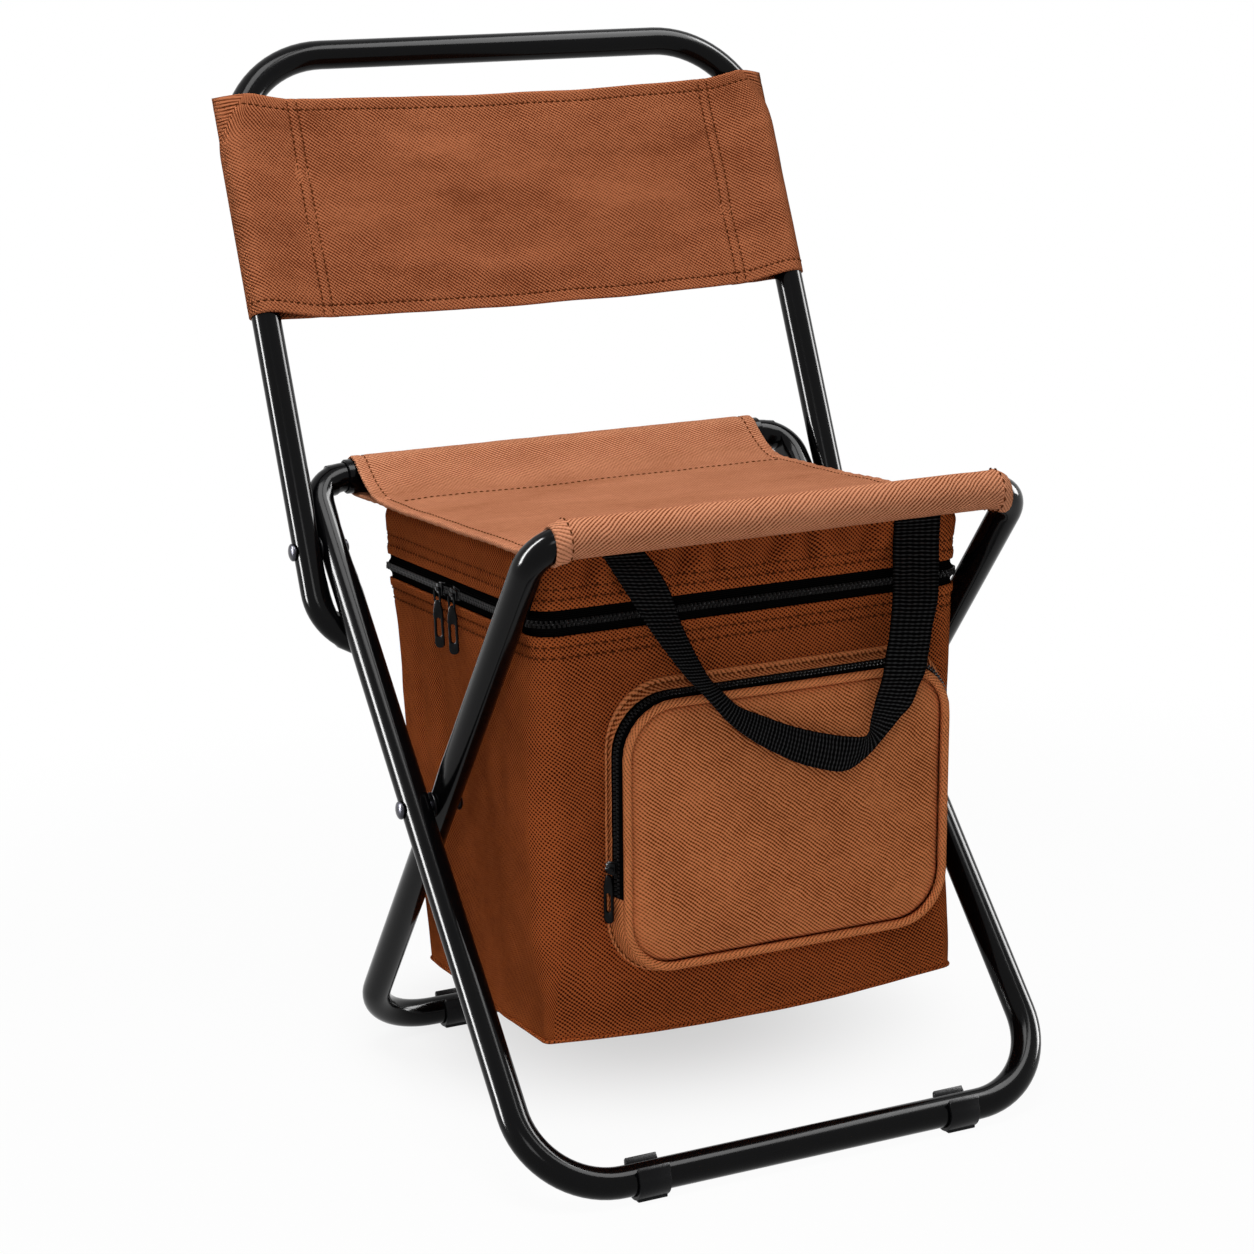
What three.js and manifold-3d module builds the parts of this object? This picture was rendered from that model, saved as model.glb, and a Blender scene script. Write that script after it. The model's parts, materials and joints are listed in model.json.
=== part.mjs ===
// Folding cooler stool: two crossed leg loops of bent steel tube, a backrest that tips forward,
// and an insulated bag hung under the seat cloth. Millimetres, +Z up, front towards -Y.
import * as THREE from 'three';
import { mergeVertices } from 'three/addons/utils/BufferGeometryUtils.js';
import Module from 'manifold-3d';

const wasm = await Module();
wasm.setup();
const deg = THREE.MathUtils.degToRad;

// Clearances between pieces that touch on the real stool.
const seatGap = 0.3;
const sleeveGap = 0.5;

// Bent tube of the three loops.
const tubeDiameter = 16;
const tubeWall = 1.2;
const railWall = 1;
const railPlug = 26;
const pressDepth = 2.4;
const pressFlat = 8;
const pressFade = 46;
const washerThickness = 0.9;
const washerGap = 0.25;
const washerRadius = 7;
const rivetRadius = 3;
const rivetHeadRadius = 6;
const rivetHeadHeight = 2.4;
const rivetTailHeight = 2;

// Crossed legs.
const outerHalfWidth = 146;
const pivotHeight = 175;
const seatRailHeight = 331;
const outerLean = deg(40.6);
const innerLean = deg(42.8);
const frontFootBend = 45;
const rearFootBend = 42;
const rearRailBend = 18;
const frontRailBend = 20;
const joinerLength = 70;
const joinerRadius = 6.1;
const joinerWall = 1.5;
const joinerSlit = 2;

// Feet clipped over the floor bars.
const footWall = 1.8;
const footLength = 16;
const footMouth = deg(84);
const footFlat = 11;
const frontFootInset = 13;
const rearFootInset = 14;

// Backrest loop and its stop hooks.
const backrestBelowRail = 44.46;
const backrestLean = deg(20.5);
const backrestLength = 280;
const backrestBend = 58;
const hookStraight = 23;
const hookBend = 30;
const hookTurn = deg(56);
const hookTail = 8;
const plugHead = 2;
const plugStem = 7;

// Cloth of the seat and the backrest.
const clothThickness = 1.2;
const seatFall = 44;
const slingLow = 131;
const slingHeight = 125;
const slingSag = 7;
const slingSlack = 24;

// Insulated bag.
const bagSideClear = 5;
const bagRearInset = 3;
const bagBottom = 69;
const bagFloorBevel = 2;
const bagFrontClear = 35.45;
const bagFrontTaper = 19;
const bagRearClear = 26.7;
const bagRearTaper = 30;
const bagCorner = 7;
const foamThickness = 5;
const linerThickness = 0.8;
const lidDepth = 36.6;
const zipTape = 6.2;
const zipSplit = 0.4;
const zipThickness = 1.6;
const lidFoamThickness = 8;
const lidFlareFront = 9;
const lidFlareRear = 8;

// Front pocket, measured on the bag's sloping front panel.
const pocketCentre = 11;
const pocketSideMargin = 32;
const pocketLow = 36;
const pocketBelowZip = 45.24;
const pocketCorner = 24;
const pocketDepth = 18;
const pocketFlare = 7;
const pocketGusset = 6;
const pocketTape = 6;
const pocketCloth = 1.4;
const pipingRadius = 2;

// Zip sliders and their pulls.
const sliderLength = 9;
const sliderWidth = 8;
const sliderThickness = 3;
const pullLength = 27;
const pullWidth = 6.5;
const pullThickness = 1.4;
const pullEye = 1.6;
const mainSliderPlaces = { front: -3, rear: 18 };
const pocketSliderHeight = 93;

// Carrying strap of flat webbing.
const strapWidth = 25;
const strapThickness = 1.8;
// Its centre line: across, out from the lid's front, and down from the lid's top.
const strapPath = [
  [-71, 1.4, 10],
  [-62, 12, 26],
  [-52, 17, 46],
  [-42, 18.5, 62],
  [-30, 18.5, 77],
  [-10, 18.5, 95],
  [11, 18.5, 106],
  [31, 18.5, 113],
  [47, 18.5, 111],
  [59, 18.5, 101],
  [67, 18.5, 88],
  [72, 18.5, 73],
  [76, 18, 60],
  [80, 17, 43],
  [83, 11, 25],
  [86, 0.5, 6],
];

// Facets.
const tubeSides = 14;
const boreSides = 10;
const bendSteps = 6;
const roundSides = 12;
const cornerSteps = 4;
const sagSteps = 8;
const strapSteps = 30;
const pipingSides = 6;

// Sizes that follow from the ones above.
const tubeRadius = tubeDiameter / 2;
const tubeBore = tubeRadius - tubeWall;
const frameSpacing = tubeDiameter - pressDepth + washerThickness + 2 * washerGap;
const innerHalfWidth = outerHalfWidth - frameSpacing;
const backrestHalfWidth = outerHalfWidth + frameSpacing;
const floorBarHeight = tubeRadius + sleeveGap + footWall;
const frontFootSpread = outerHalfWidth - frontFootBend - frontFootInset;
const rearFootSpread = innerHalfWidth - rearFootBend - rearFootInset;
const railBore = tubeRadius + sleeveGap;
const railRadius = railBore + railWall;
const rivetHole = rivetRadius + seatGap;

const xAxis = new THREE.Vector3(1, 0, 0);
const outerUp = new THREE.Vector3(0, Math.sin(outerLean), Math.cos(outerLean));
const innerUp = new THREE.Vector3(0, -Math.sin(innerLean), Math.cos(innerLean));
const backrestUp = new THREE.Vector3(0, Math.sin(backrestLean), Math.cos(backrestLean));
const legPivot = new THREE.Vector3(0, 0, pivotHeight);
const along = (start, direction, distance) => start.clone().addScaledVector(direction, distance);
const aside = (point, x) => along(point, xAxis, x);
const atHeight = (direction, height) => along(legPivot, direction, (height - pivotHeight) / direction.z);

const rearRailCentre = atHeight(outerUp, seatRailHeight);
const frontRailCentre = atHeight(innerUp, seatRailHeight);
const frontBarCentre = atHeight(outerUp, floorBarHeight);
const rearBarCentre = atHeight(innerUp, floorBarHeight);
const backrestPivot = along(rearRailCentre, outerUp, -backrestBelowRail);
const backrestTop = along(backrestPivot, backrestUp, backrestLength);

// The bag hangs between the seat rails, with its lid just under the seat cloth.
const seatLevel = seatRailHeight - tubeRadius - sleeveGap - clothThickness / 2;
const lidTop = seatLevel - clothThickness / 2 - seatGap;
const zipHeight = lidTop - lidDepth;
const seatWidth = 2 * (innerHalfWidth - tubeRadius);
const bagHalfWidth = innerHalfWidth - tubeRadius - bagSideClear;
const pocketHalfWidth = bagHalfWidth - pocketSideMargin;
const bagFrontHigh = frontRailCentre.y + bagFrontClear;
const bagFrontLow = bagFrontHigh + bagFrontTaper;
const bagRearHigh = rearRailCentre.y - bagRearClear;
const bagRearLow = bagRearHigh - bagRearTaper;
const panelSlope = Math.atan2(bagFrontTaper, zipHeight - bagBottom);
const panelLength = (zipHeight - bagBottom) / Math.cos(panelSlope);
const pocketHeight = panelLength - pocketLow - pocketBelowZip;

const stool = new THREE.Group();
const finishes = {
  tube: new THREE.MeshStandardMaterial({ color: '#101012', roughness: 0.28, metalness: 0.2 }),
  steel: new THREE.MeshStandardMaterial({ color: '#2a2a2d', roughness: 0.35, metalness: 0.8 }),
  plastic: new THREE.MeshStandardMaterial({ color: '#151517', roughness: 0.5, metalness: 0 }),
  cloth: new THREE.MeshStandardMaterial({ color: '#8f4a26', roughness: 0.85, metalness: 0 }),
  webbing: new THREE.MeshStandardMaterial({ color: '#141414', roughness: 0.8, metalness: 0 }),
  zip: new THREE.MeshStandardMaterial({ color: '#121214', roughness: 0.6, metalness: 0 }),
  foam: new THREE.MeshStandardMaterial({ color: '#e8e6df', roughness: 0.9, metalness: 0 }),
  liner: new THREE.MeshStandardMaterial({ color: '#c9ccd0', roughness: 0.3, metalness: 0.6 }),
};

function addPiece(name, finish, geometry) {
  const piece = new THREE.Mesh(geometry, finishes[finish]);
  piece.name = name;
  stool.add(piece);
  return piece;
}

// Booleans on closed meshes, used for the rivet holes.
function toSolid(geometry) {
  const bare = geometry.clone();
  bare.deleteAttribute('normal');
  bare.deleteAttribute('uv');
  const merged = mergeVertices(bare, 1e-4);
  return new wasm.Manifold(new wasm.Mesh({
    numProp: 3,
    vertProperties: new Float32Array(merged.attributes.position.array),
    triVerts: new Uint32Array(merged.index.array),
  }));
}

function toGeometry(solid) {
  const mesh = solid.getMesh();
  const geometry = new THREE.BufferGeometry();
  geometry.setAttribute('position', new THREE.BufferAttribute(mesh.vertProperties, 3));
  geometry.setIndex(new THREE.BufferAttribute(mesh.triVerts, 1));
  return geometry;
}

function drillAcross(geometry, centres) {
  let solid = toSolid(geometry);
  for (const centre of centres) {
    const drill = new THREE.CylinderGeometry(rivetHole, rivetHole, 3 * tubeDiameter, boreSides);
    drill.rotateZ(Math.PI / 2);
    drill.translate(centre.x, centre.y, centre.z);
    solid = solid.subtract(toSolid(drill));
  }
  return toGeometry(solid);
}

// A line of straight runs and round bends. Its stations sit where a bend or a pressed spot needs them,
// so that straight runs stay coarse.
class BentLine extends THREE.Curve {
  constructor(corners, radii, extraStations = []) {
    super();
    const runs = [{ from: corners[0] }];
    corners.slice(1, -1).forEach((corner, i) => {
      const back = corners[i].clone().sub(corner).normalize();
      const on = corners[i + 2].clone().sub(corner).normalize();
      const halfAngle = back.angleTo(on) / 2;
      const reach = radii[i] / Math.tan(halfAngle);
      const middle = back.clone().add(on).normalize();
      const centre = along(corner, middle, radii[i] / Math.sin(halfAngle));
      runs[runs.length - 1].to = along(corner, back, reach);
      runs.push({ centre, start: along(corner, back, reach), finish: along(corner, on, reach) });
      runs.push({ from: along(corner, on, reach) });
    });
    runs[runs.length - 1].to = corners[corners.length - 1];
    this.stations = [];
    for (const run of runs) {
      if (run.centre) this.addBend(run);
      else this.addStraight(run, extraStations);
    }
  }

  addStraight({ from, to }, extraStations) {
    const direction = to.clone().sub(from).normalize();
    const length = from.distanceTo(to);
    const marks = [0, length];
    for (const station of extraStations) {
      const offset = station.clone().sub(from);
      const mark = offset.dot(direction);
      const off = offset.addScaledVector(direction, -mark).length();
      if (off < seatGap && mark > 1 && mark < length - 1) marks.push(mark);
    }
    marks.sort((a, b) => a - b);
    for (const mark of marks) this.addStation(along(from, direction, mark), direction);
  }

  addBend({ centre, start, finish }) {
    const a = start.clone().sub(centre);
    const b = finish.clone().sub(centre);
    const axis = a.clone().cross(b).normalize();
    const turn = a.angleTo(b);
    for (let step = 1; step < bendSteps; step += 1) {
      const spoke = a.clone().applyAxisAngle(axis, (turn * step) / bendSteps);
      this.addStation(centre.clone().add(spoke), axis.clone().cross(spoke).normalize());
    }
  }

  addStation(point, tangent) {
    this.stations.push({ point, tangent: tangent.clone() });
  }

  get steps() {
    return this.stations.length - 1;
  }

  getPointAt(u) {
    return this.stations[Math.round(u * this.steps)].point.clone();
  }

  getTangentAt(u) {
    return this.stations[Math.round(u * this.steps)].tangent.clone();
  }
}

function ringShape(outer, inner, outerSides, innerSides) {
  const circle = (radius, sides) => Array.from({ length: sides }, (_, i) => {
    const angle = (2 * Math.PI * i) / sides;
    return new THREE.Vector2(radius * Math.cos(angle), radius * Math.sin(angle));
  });
  const shape = new THREE.Shape(circle(outer, outerSides));
  shape.holes.push(new THREE.Path(circle(inner, innerSides)));
  return shape;
}

function bendTube(line) {
  return new THREE.ExtrudeGeometry(ringShape(tubeRadius, tubeBore, tubeSides, boreSides), {
    steps: line.steps,
    extrudePath: line,
    bevelEnabled: false,
  });
}

// Room that a bent tube needs where it leaves a cloth sleeve.
function tubeRoom(line) {
  const room = new THREE.Shape().absarc(0, 0, tubeRadius + seatGap, 0, 2 * Math.PI, false);
  return new THREE.ExtrudeGeometry(room, {
    steps: line.steps,
    extrudePath: line,
    bevelEnabled: false,
    curveSegments: tubeSides,
  });
}

function straightTube(outer, inner, length) {
  const tube = new THREE.ExtrudeGeometry(ringShape(outer, inner, tubeSides, tubeSides), {
    depth: length,
    bevelEnabled: false,
  });
  tube.translate(0, 0, -length / 2);
  tube.rotateY(Math.PI / 2);
  return tube;
}

// The tube wall is pressed in beside a rivet, on the half that faces the neighbouring loop.
const pressMarks = [-1, -0.7, -0.4, 0, 0.4, 0.7, 1].map((share) => share * pressFade);

function pressedStations(centre, direction) {
  return pressMarks.map((mark) => along(centre, direction, mark));
}

function pressTube(geometry, centre, direction, side) {
  const position = geometry.attributes.position;
  const vertex = new THREE.Vector3();
  for (let i = 0; i < position.count; i += 1) {
    vertex.fromBufferAttribute(position, i);
    const offset = vertex.clone().sub(centre);
    const distance = Math.abs(offset.dot(direction));
    const acrossYZ = Math.hypot(offset.y, offset.z);
    const onTube = Math.sqrt(Math.max(0, acrossYZ ** 2 - distance ** 2)) <= tubeDiameter;
    if (offset.x * side <= 0 || Math.abs(offset.x) > tubeDiameter || !onTube) continue;
    const fade = 1 - THREE.MathUtils.smoothstep(distance, pressFlat, pressFade);
    position.setX(i, centre.x + offset.x * (1 - (pressDepth / tubeRadius) * fade));
  }
}

// Outer legs: one loop whose bent ends plug into the rear seat rail.
function buildOuterLegs() {
  const plugEnd = outerHalfWidth - rearRailBend - railPlug;
  const stations = [];
  for (const side of [-1, 1]) {
    stations.push(...pressedStations(aside(backrestPivot, side * outerHalfWidth), outerUp));
    stations.push(aside(legPivot, side * outerHalfWidth));
  }
  const line = new BentLine([
    aside(rearRailCentre, -plugEnd),
    aside(rearRailCentre, -outerHalfWidth),
    aside(frontBarCentre, -outerHalfWidth),
    aside(frontBarCentre, outerHalfWidth),
    aside(rearRailCentre, outerHalfWidth),
    aside(rearRailCentre, plugEnd),
  ], [rearRailBend, frontFootBend, frontFootBend, rearRailBend], stations);
  const tube = bendTube(line);
  const holes = [];
  for (const side of [-1, 1]) {
    pressTube(tube, aside(backrestPivot, side * outerHalfWidth), outerUp, -side);
    holes.push(aside(backrestPivot, side * outerHalfWidth), aside(legPivot, side * outerHalfWidth));
  }
  addPiece('outer_leg_tube', 'tube', drillAcross(tube, holes));
  const railLength = 2 * (outerHalfWidth - rearRailBend - seatGap);
  const rail = straightTube(railRadius, railBore, railLength);
  rail.translate(...rearRailCentre.toArray());
  addPiece('rear_seat_rail', 'tube', rail);
}

// Inner legs: a loop closed inside the front seat sleeve by a short joiner tube.
function innerLegLine() {
  const stations = [];
  for (const side of [-1, 1]) {
    stations.push(...pressedStations(aside(legPivot, side * innerHalfWidth), innerUp));
  }
  return new BentLine([
    aside(frontRailCentre, -joinerSlit / 2),
    aside(frontRailCentre, -innerHalfWidth),
    aside(rearBarCentre, -innerHalfWidth),
    aside(rearBarCentre, innerHalfWidth),
    aside(frontRailCentre, innerHalfWidth),
    aside(frontRailCentre, joinerSlit / 2),
  ], [frontRailBend, rearFootBend, rearFootBend, frontRailBend], stations);
}

function buildInnerLegs() {
  const tube = bendTube(innerLegLine());
  const holes = [];
  for (const side of [-1, 1]) {
    pressTube(tube, aside(legPivot, side * innerHalfWidth), innerUp, side);
    holes.push(aside(legPivot, side * innerHalfWidth));
  }
  addPiece('inner_leg_tube', 'tube', drillAcross(tube, holes));
  const joiner = straightTube(joinerRadius, joinerRadius - joinerWall, joinerLength);
  joiner.translate(...frontRailCentre.toArray());
  addPiece('front_rail_joiner', 'steel', joiner);
}

// Backrest loop: its lower ends hook inwards behind the outer legs and stop it leaning further back.
const hookCorner = hookStraight + hookBend * Math.tan(hookTurn / 2);
const hookReach = hookBend * Math.tan(hookTurn / 2) + hookTail;

function hookDirection(side) {
  const inward = xAxis.clone().multiplyScalar(-side * Math.sin(hookTurn));
  return inward.addScaledVector(backrestUp, -Math.cos(hookTurn));
}

function hookEnd(side) {
  const corner = along(aside(backrestPivot, side * backrestHalfWidth), backrestUp, -hookCorner);
  return along(corner, hookDirection(side), hookReach);
}

function buildBackrest() {
  const stations = [];
  for (const side of [-1, 1]) {
    stations.push(...pressedStations(aside(backrestPivot, side * backrestHalfWidth), backrestUp));
  }
  const corner = (side) => along(aside(backrestPivot, side * backrestHalfWidth), backrestUp, -hookCorner);
  const line = new BentLine([
    hookEnd(-1),
    corner(-1),
    aside(backrestTop, -backrestHalfWidth),
    aside(backrestTop, backrestHalfWidth),
    corner(1),
    hookEnd(1),
  ], [hookBend, backrestBend, backrestBend, hookBend], stations);
  const tube = bendTube(line);
  const holes = [];
  for (const side of [-1, 1]) {
    pressTube(tube, aside(backrestPivot, side * backrestHalfWidth), backrestUp, -side);
    holes.push(aside(backrestPivot, side * backrestHalfWidth));
  }
  addPiece('backrest_tube', 'tube', drillAcross(tube, holes));
}

function latheAcross(profile, side, centre) {
  const points = profile.map(([radius, x]) => new THREE.Vector2(radius, x));
  const turned = new THREE.LatheGeometry(points, boreSides);
  turned.rotateZ(-side * Math.PI / 2);
  turned.translate(0, centre.y, centre.z);
  return turned;
}

// Rivet along X from an inner face to an outer face, both given as distances from the middle plane.
function rivetProfile(innerFace, outerFace) {
  const head = outerFace + seatGap;
  const tail = innerFace - seatGap;
  return [
    [0, tail - rivetTailHeight],
    [rivetHeadRadius * 0.7, tail - rivetTailHeight],
    [rivetHeadRadius * 0.8, tail],
    [rivetRadius, tail],
    [rivetRadius, head],
    [rivetHeadRadius, head],
    [rivetHeadRadius * 0.85, head + rivetHeadHeight * 0.6],
    [rivetHeadRadius * 0.45, head + rivetHeadHeight],
    [0, head + rivetHeadHeight],
  ];
}

function washerProfile(innerFace) {
  const near = innerFace + washerGap;
  const far = near + washerThickness;
  return [[rivetHole, near], [washerRadius, near], [washerRadius, far], [rivetHole, far], [rivetHole, near]];
}

function buildRivets() {
  for (const [word, side] of [['left', -1], ['right', 1]]) {
    const legRivet = rivetProfile(innerHalfWidth - tubeRadius, outerHalfWidth + tubeRadius);
    const pressedLeg = outerHalfWidth - tubeRadius + pressDepth;
    const backrestRivet = rivetProfile(pressedLeg, backrestHalfWidth + tubeRadius);
    const legWasher = washerProfile(innerHalfWidth + tubeRadius - pressDepth);
    const backrestWasher = washerProfile(outerHalfWidth + tubeRadius);
    addPiece(`leg_rivet_${word}`, 'steel', latheAcross(legRivet, side, legPivot));
    addPiece(`leg_washer_${word}`, 'plastic', latheAcross(legWasher, side, legPivot));
    addPiece(`backrest_rivet_${word}`, 'steel', latheAcross(backrestRivet, side, backrestPivot));
    addPiece(`backrest_washer_${word}`, 'plastic', latheAcross(backrestWasher, side, backrestPivot));
  }
}

function buildHookPlugs() {
  const stemRadius = tubeBore * Math.cos(Math.PI / boreSides) - seatGap;
  const profile = [
    [0, -plugStem],
    [stemRadius, -plugStem],
    [stemRadius, seatGap],
    [tubeRadius, seatGap],
    [tubeRadius, seatGap + plugHead * 0.6],
    [tubeRadius * 0.8, seatGap + plugHead],
    [0, seatGap + plugHead],
  ].map(([radius, y]) => new THREE.Vector2(radius, y));
  for (const [word, side] of [['left', -1], ['right', 1]]) {
    const plug = new THREE.LatheGeometry(profile, boreSides);
    const turn = new THREE.Quaternion().setFromUnitVectors(new THREE.Vector3(0, 1, 0), hookDirection(side));
    const piece = addPiece(`backrest_end_plug_${word}`, 'plastic', plug);
    piece.quaternion.copy(turn);
    piece.position.copy(hookEnd(side));
  }
}

// Foot clip: a C of moulded plastic with a flat sole, open at the top where it snaps over the bar.
function buildFeet() {
  const inner = tubeRadius + sleeveGap;
  const outer = inner + footWall;
  const soleAngle = Math.asin(footFlat / 2 / outer);
  const hub = new THREE.Vector2();
  const mouth = footMouth / 2;
  const top = Math.PI / 2;
  const sole = -Math.PI / 2;
  const outline = [
    ...arcPoints(hub, outer, top + mouth, top + Math.PI - soleAngle),
    new THREE.Vector2(-footFlat / 2, -outer),
    new THREE.Vector2(footFlat / 2, -outer),
    ...arcPoints(hub, outer, sole + soleAngle, top - mouth),
    ...arcPoints(hub, inner, top - mouth, top + mouth - 2 * Math.PI),
  ];
  const places = [
    ['front_foot_left', frontBarCentre, -frontFootSpread],
    ['front_foot_right', frontBarCentre, frontFootSpread],
    ['rear_foot_left', rearBarCentre, -rearFootSpread],
    ['rear_foot_right', rearBarCentre, rearFootSpread],
  ];
  for (const [name, bar, x] of places) {
    const clip = new THREE.ExtrudeGeometry(new THREE.Shape(outline), { depth: footLength, bevelEnabled: false });
    clip.translate(0, 0, -footLength / 2);
    clip.applyMatrix4(new THREE.Matrix4().makeBasis(
      new THREE.Vector3(0, 1, 0), new THREE.Vector3(0, 0, 1), xAxis));
    clip.translate(x, bar.y, bar.z);
    addPiece(name, 'plastic', clip);
  }
}

// Profile of a cloth stretched over two bars: a sleeve round each, and one sagging sheet tangent to both.
// A sleeve with slack is a flat loop that runs inwards from its bar to the seam.
function arcPoints(centre, radius, from, to) {
  return Array.from({ length: roundSides + 1 }, (_, i) => {
    const angle = from + ((to - from) * i) / roundSides;
    return new THREE.Vector2(centre.x + radius * Math.cos(angle), centre.y + radius * Math.sin(angle));
  });
}

function slingShape(near, far, sag, slack) {
  const sleeves = [near, far].map(({ at, bar }, i) => {
    const bore = bar + sleeveGap;
    const skin = bore + clothThickness;
    const seam = new THREE.Vector2(at.x + (i === 0 ? slack : -slack), at.y);
    return { at, seam, bore, skin, split: Math.asin(1 - clothThickness / skin) };
  });
  const [a, b] = sleeves;
  const top = Math.PI / 2;
  const sheet = (from, to) => Array.from({ length: sagSteps + 1 }, (_, i) => {
    const share = i / sagSteps;
    const point = from.clone().lerp(to, share);
    point.y -= 4 * sag * share * (1 - share);
    return point;
  });
  const above = ({ seam, skin }) => new THREE.Vector2(seam.x, seam.y + skin);
  const nearLoop = [...arcPoints(a.seam, a.skin, a.split, -top), ...arcPoints(a.at, a.skin, -top, -3 * top)];
  const farLoop = [...arcPoints(b.at, b.skin, top, -top), ...arcPoints(b.seam, b.skin, -top, -2 * top - b.split)];
  const outline = [
    ...nearLoop,
    ...sheet(above(a), above(b)),
    ...farLoop,
    ...sheet(farLoop[farLoop.length - 1], nearLoop[0]),
  ];
  const shape = new THREE.Shape(withoutRepeats(outline));
  for (const { at, seam, bore } of sleeves) {
    const [left, right] = at.x < seam.x ? [at, seam] : [seam, at];
    const hole = [...arcPoints(right, bore, -top, top), ...arcPoints(left, bore, top, 3 * top)];
    shape.holes.push(new THREE.Path(withoutRepeats(hole)));
  }
  return shape;
}

function withoutRepeats(points) {
  const apart = (p, i) => p.distanceTo(points[(i + points.length - 1) % points.length]) > 1e-6;
  return points.filter(apart);
}

function barAcross(centre, radius, length) {
  const bar = new THREE.CylinderGeometry(radius, radius, length, 2 * roundSides);
  bar.rotateZ(Math.PI / 2);
  bar.translate(...centre.toArray());
  return toSolid(bar);
}

// The seat leaves the front sleeve along its underside, runs level and climbs over the rear rail.
function seatSheet(rearSkin) {
  const rearTop = new THREE.Vector2(rearRailCentre.y - rearSkin * 0.6, rearRailCentre.z + rearSkin * 0.8);
  const levelEnd = new THREE.Vector2(rearRailCentre.y - seatFall, seatLevel);
  const middle = [new THREE.Vector2(frontRailCentre.y, seatLevel)];
  for (let step = 0; step <= sagSteps; step += 1) {
    const share = step / sagSteps;
    const rise = (rearTop.y - levelEnd.y) * share ** 2;
    middle.push(new THREE.Vector2(THREE.MathUtils.lerp(levelEnd.x, rearTop.x, share), seatLevel + rise));
  }
  const side = (sign) => middle.map((point, i) => {
    const run = middle[Math.min(i + 1, middle.length - 1)].clone().sub(middle[Math.max(i - 1, 0)]).normalize();
    return new THREE.Vector2(-run.y, run.x).multiplyScalar((sign * clothThickness) / 2).add(point);
  });
  const sheet = new THREE.ExtrudeGeometry(new THREE.Shape([...side(-1), ...side(1).reverse()]), {
    depth: seatWidth,
    bevelEnabled: false,
  });
  sheet.translate(0, 0, -seatWidth / 2);
  sheet.applyMatrix4(new THREE.Matrix4().makeBasis(
    new THREE.Vector3(0, 1, 0), new THREE.Vector3(0, 0, 1), xAxis));
  return toSolid(sheet);
}

function buildSeatSling() {
  const frontBore = tubeRadius + sleeveGap;
  const rearBore = railRadius + sleeveGap;
  const rearSkin = rearBore + clothThickness;
  const cutLength = 2 * seatWidth;
  const sling = barAcross(frontRailCentre, frontBore + clothThickness, seatWidth)
    .add(barAcross(rearRailCentre, rearSkin, seatWidth))
    .add(seatSheet(rearSkin))
    .subtract(barAcross(frontRailCentre, frontBore, cutLength))
    .subtract(barAcross(rearRailCentre, rearBore, cutLength))
    .subtract(toSolid(tubeRoom(innerLegLine())));
  addPiece('seat_sling', 'cloth', toGeometry(sling));
}

function buildBackrestSling() {
  const near = { at: new THREE.Vector2(-backrestHalfWidth, 0), bar: tubeRadius };
  const far = { at: new THREE.Vector2(backrestHalfWidth, 0), bar: tubeRadius };
  const sling = new THREE.ExtrudeGeometry(slingShape(near, far, slingSag, slingSlack), {
    depth: slingHeight,
    bevelEnabled: false,
  });
  const down = backrestUp.clone().negate();
  const forward = down.clone().cross(xAxis);
  sling.applyMatrix4(new THREE.Matrix4().makeBasis(xAxis, forward, down));
  sling.translate(...along(backrestPivot, backrestUp, slingLow + slingHeight).toArray());
  addPiece('backrest_sling', 'cloth', sling);
}

// Solid skinned over rings of equal point count: capped at both ends, or closed round into a band.
function loftRings(rings, closed) {
  const count = rings[0].length;
  const points = rings.flat();
  const index = [];
  const bands = closed ? rings.length : rings.length - 1;
  for (let r = 0; r < bands; r += 1) {
    const next = (r + 1) % rings.length;
    for (let i = 0; i < count; i += 1) {
      const j = (i + 1) % count;
      const [a, b, c, d] = [r * count + i, r * count + j, next * count + j, next * count + i];
      index.push(a, b, c, a, c, d);
    }
  }
  if (!closed) {
    const last = (rings.length - 1) * count;
    for (let i = 1; i < count - 1; i += 1) {
      index.push(0, i + 1, i, last, last + i, last + i + 1);
    }
  }
  let volume = 0;
  for (let i = 0; i < index.length; i += 3) {
    const [a, b, c] = [points[index[i]], points[index[i + 1]], points[index[i + 2]]];
    volume += a.dot(b.clone().cross(c));
  }
  if (volume < 0) index.reverse();
  const geometry = new THREE.BufferGeometry().setFromPoints(points);
  geometry.setIndex(index);
  return geometry;
}

// Rounded four-cornered outline, given as corner points in order, each with the same corner radius.
function roundedOutline(corners, radius) {
  const points = [];
  corners.forEach((corner, i) => {
    const back = corners[(i + 3) % 4].clone().sub(corner).normalize();
    const on = corners[(i + 1) % 4].clone().sub(corner).normalize();
    const halfAngle = Math.acos(back.dot(on)) / 2;
    const centre = corner.clone().addScaledVector(
      back.clone().add(on).normalize(), radius / Math.sin(halfAngle));
    const from = corner.clone().addScaledVector(back, radius / Math.tan(halfAngle)).sub(centre);
    const sweep = Math.PI - 2 * halfAngle;
    const turn = -Math.sign(from.cross(back));
    for (let step = 0; step <= cornerSteps; step += 1) {
      points.push(centre.clone().add(
        from.clone().rotateAround(new THREE.Vector2(), (turn * sweep * step) / cornerSteps)));
    }
  });
  return points;
}

// Plan of the bag at a height, drawn in by an inset on every side.
const zipLow = zipHeight - zipSplit / 2 - zipTape;
const zipHigh = zipHeight + zipSplit / 2 + zipTape;
const bagRise = (z) => (z - bagBottom) / (zipHeight - bagBottom);

// Each side is one flat panel that draws in towards the rear.
const bagSide = (y) => bagHalfWidth - (bagRearInset * (y - bagFrontHigh)) / (bagRearHigh - bagFrontHigh);

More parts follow.
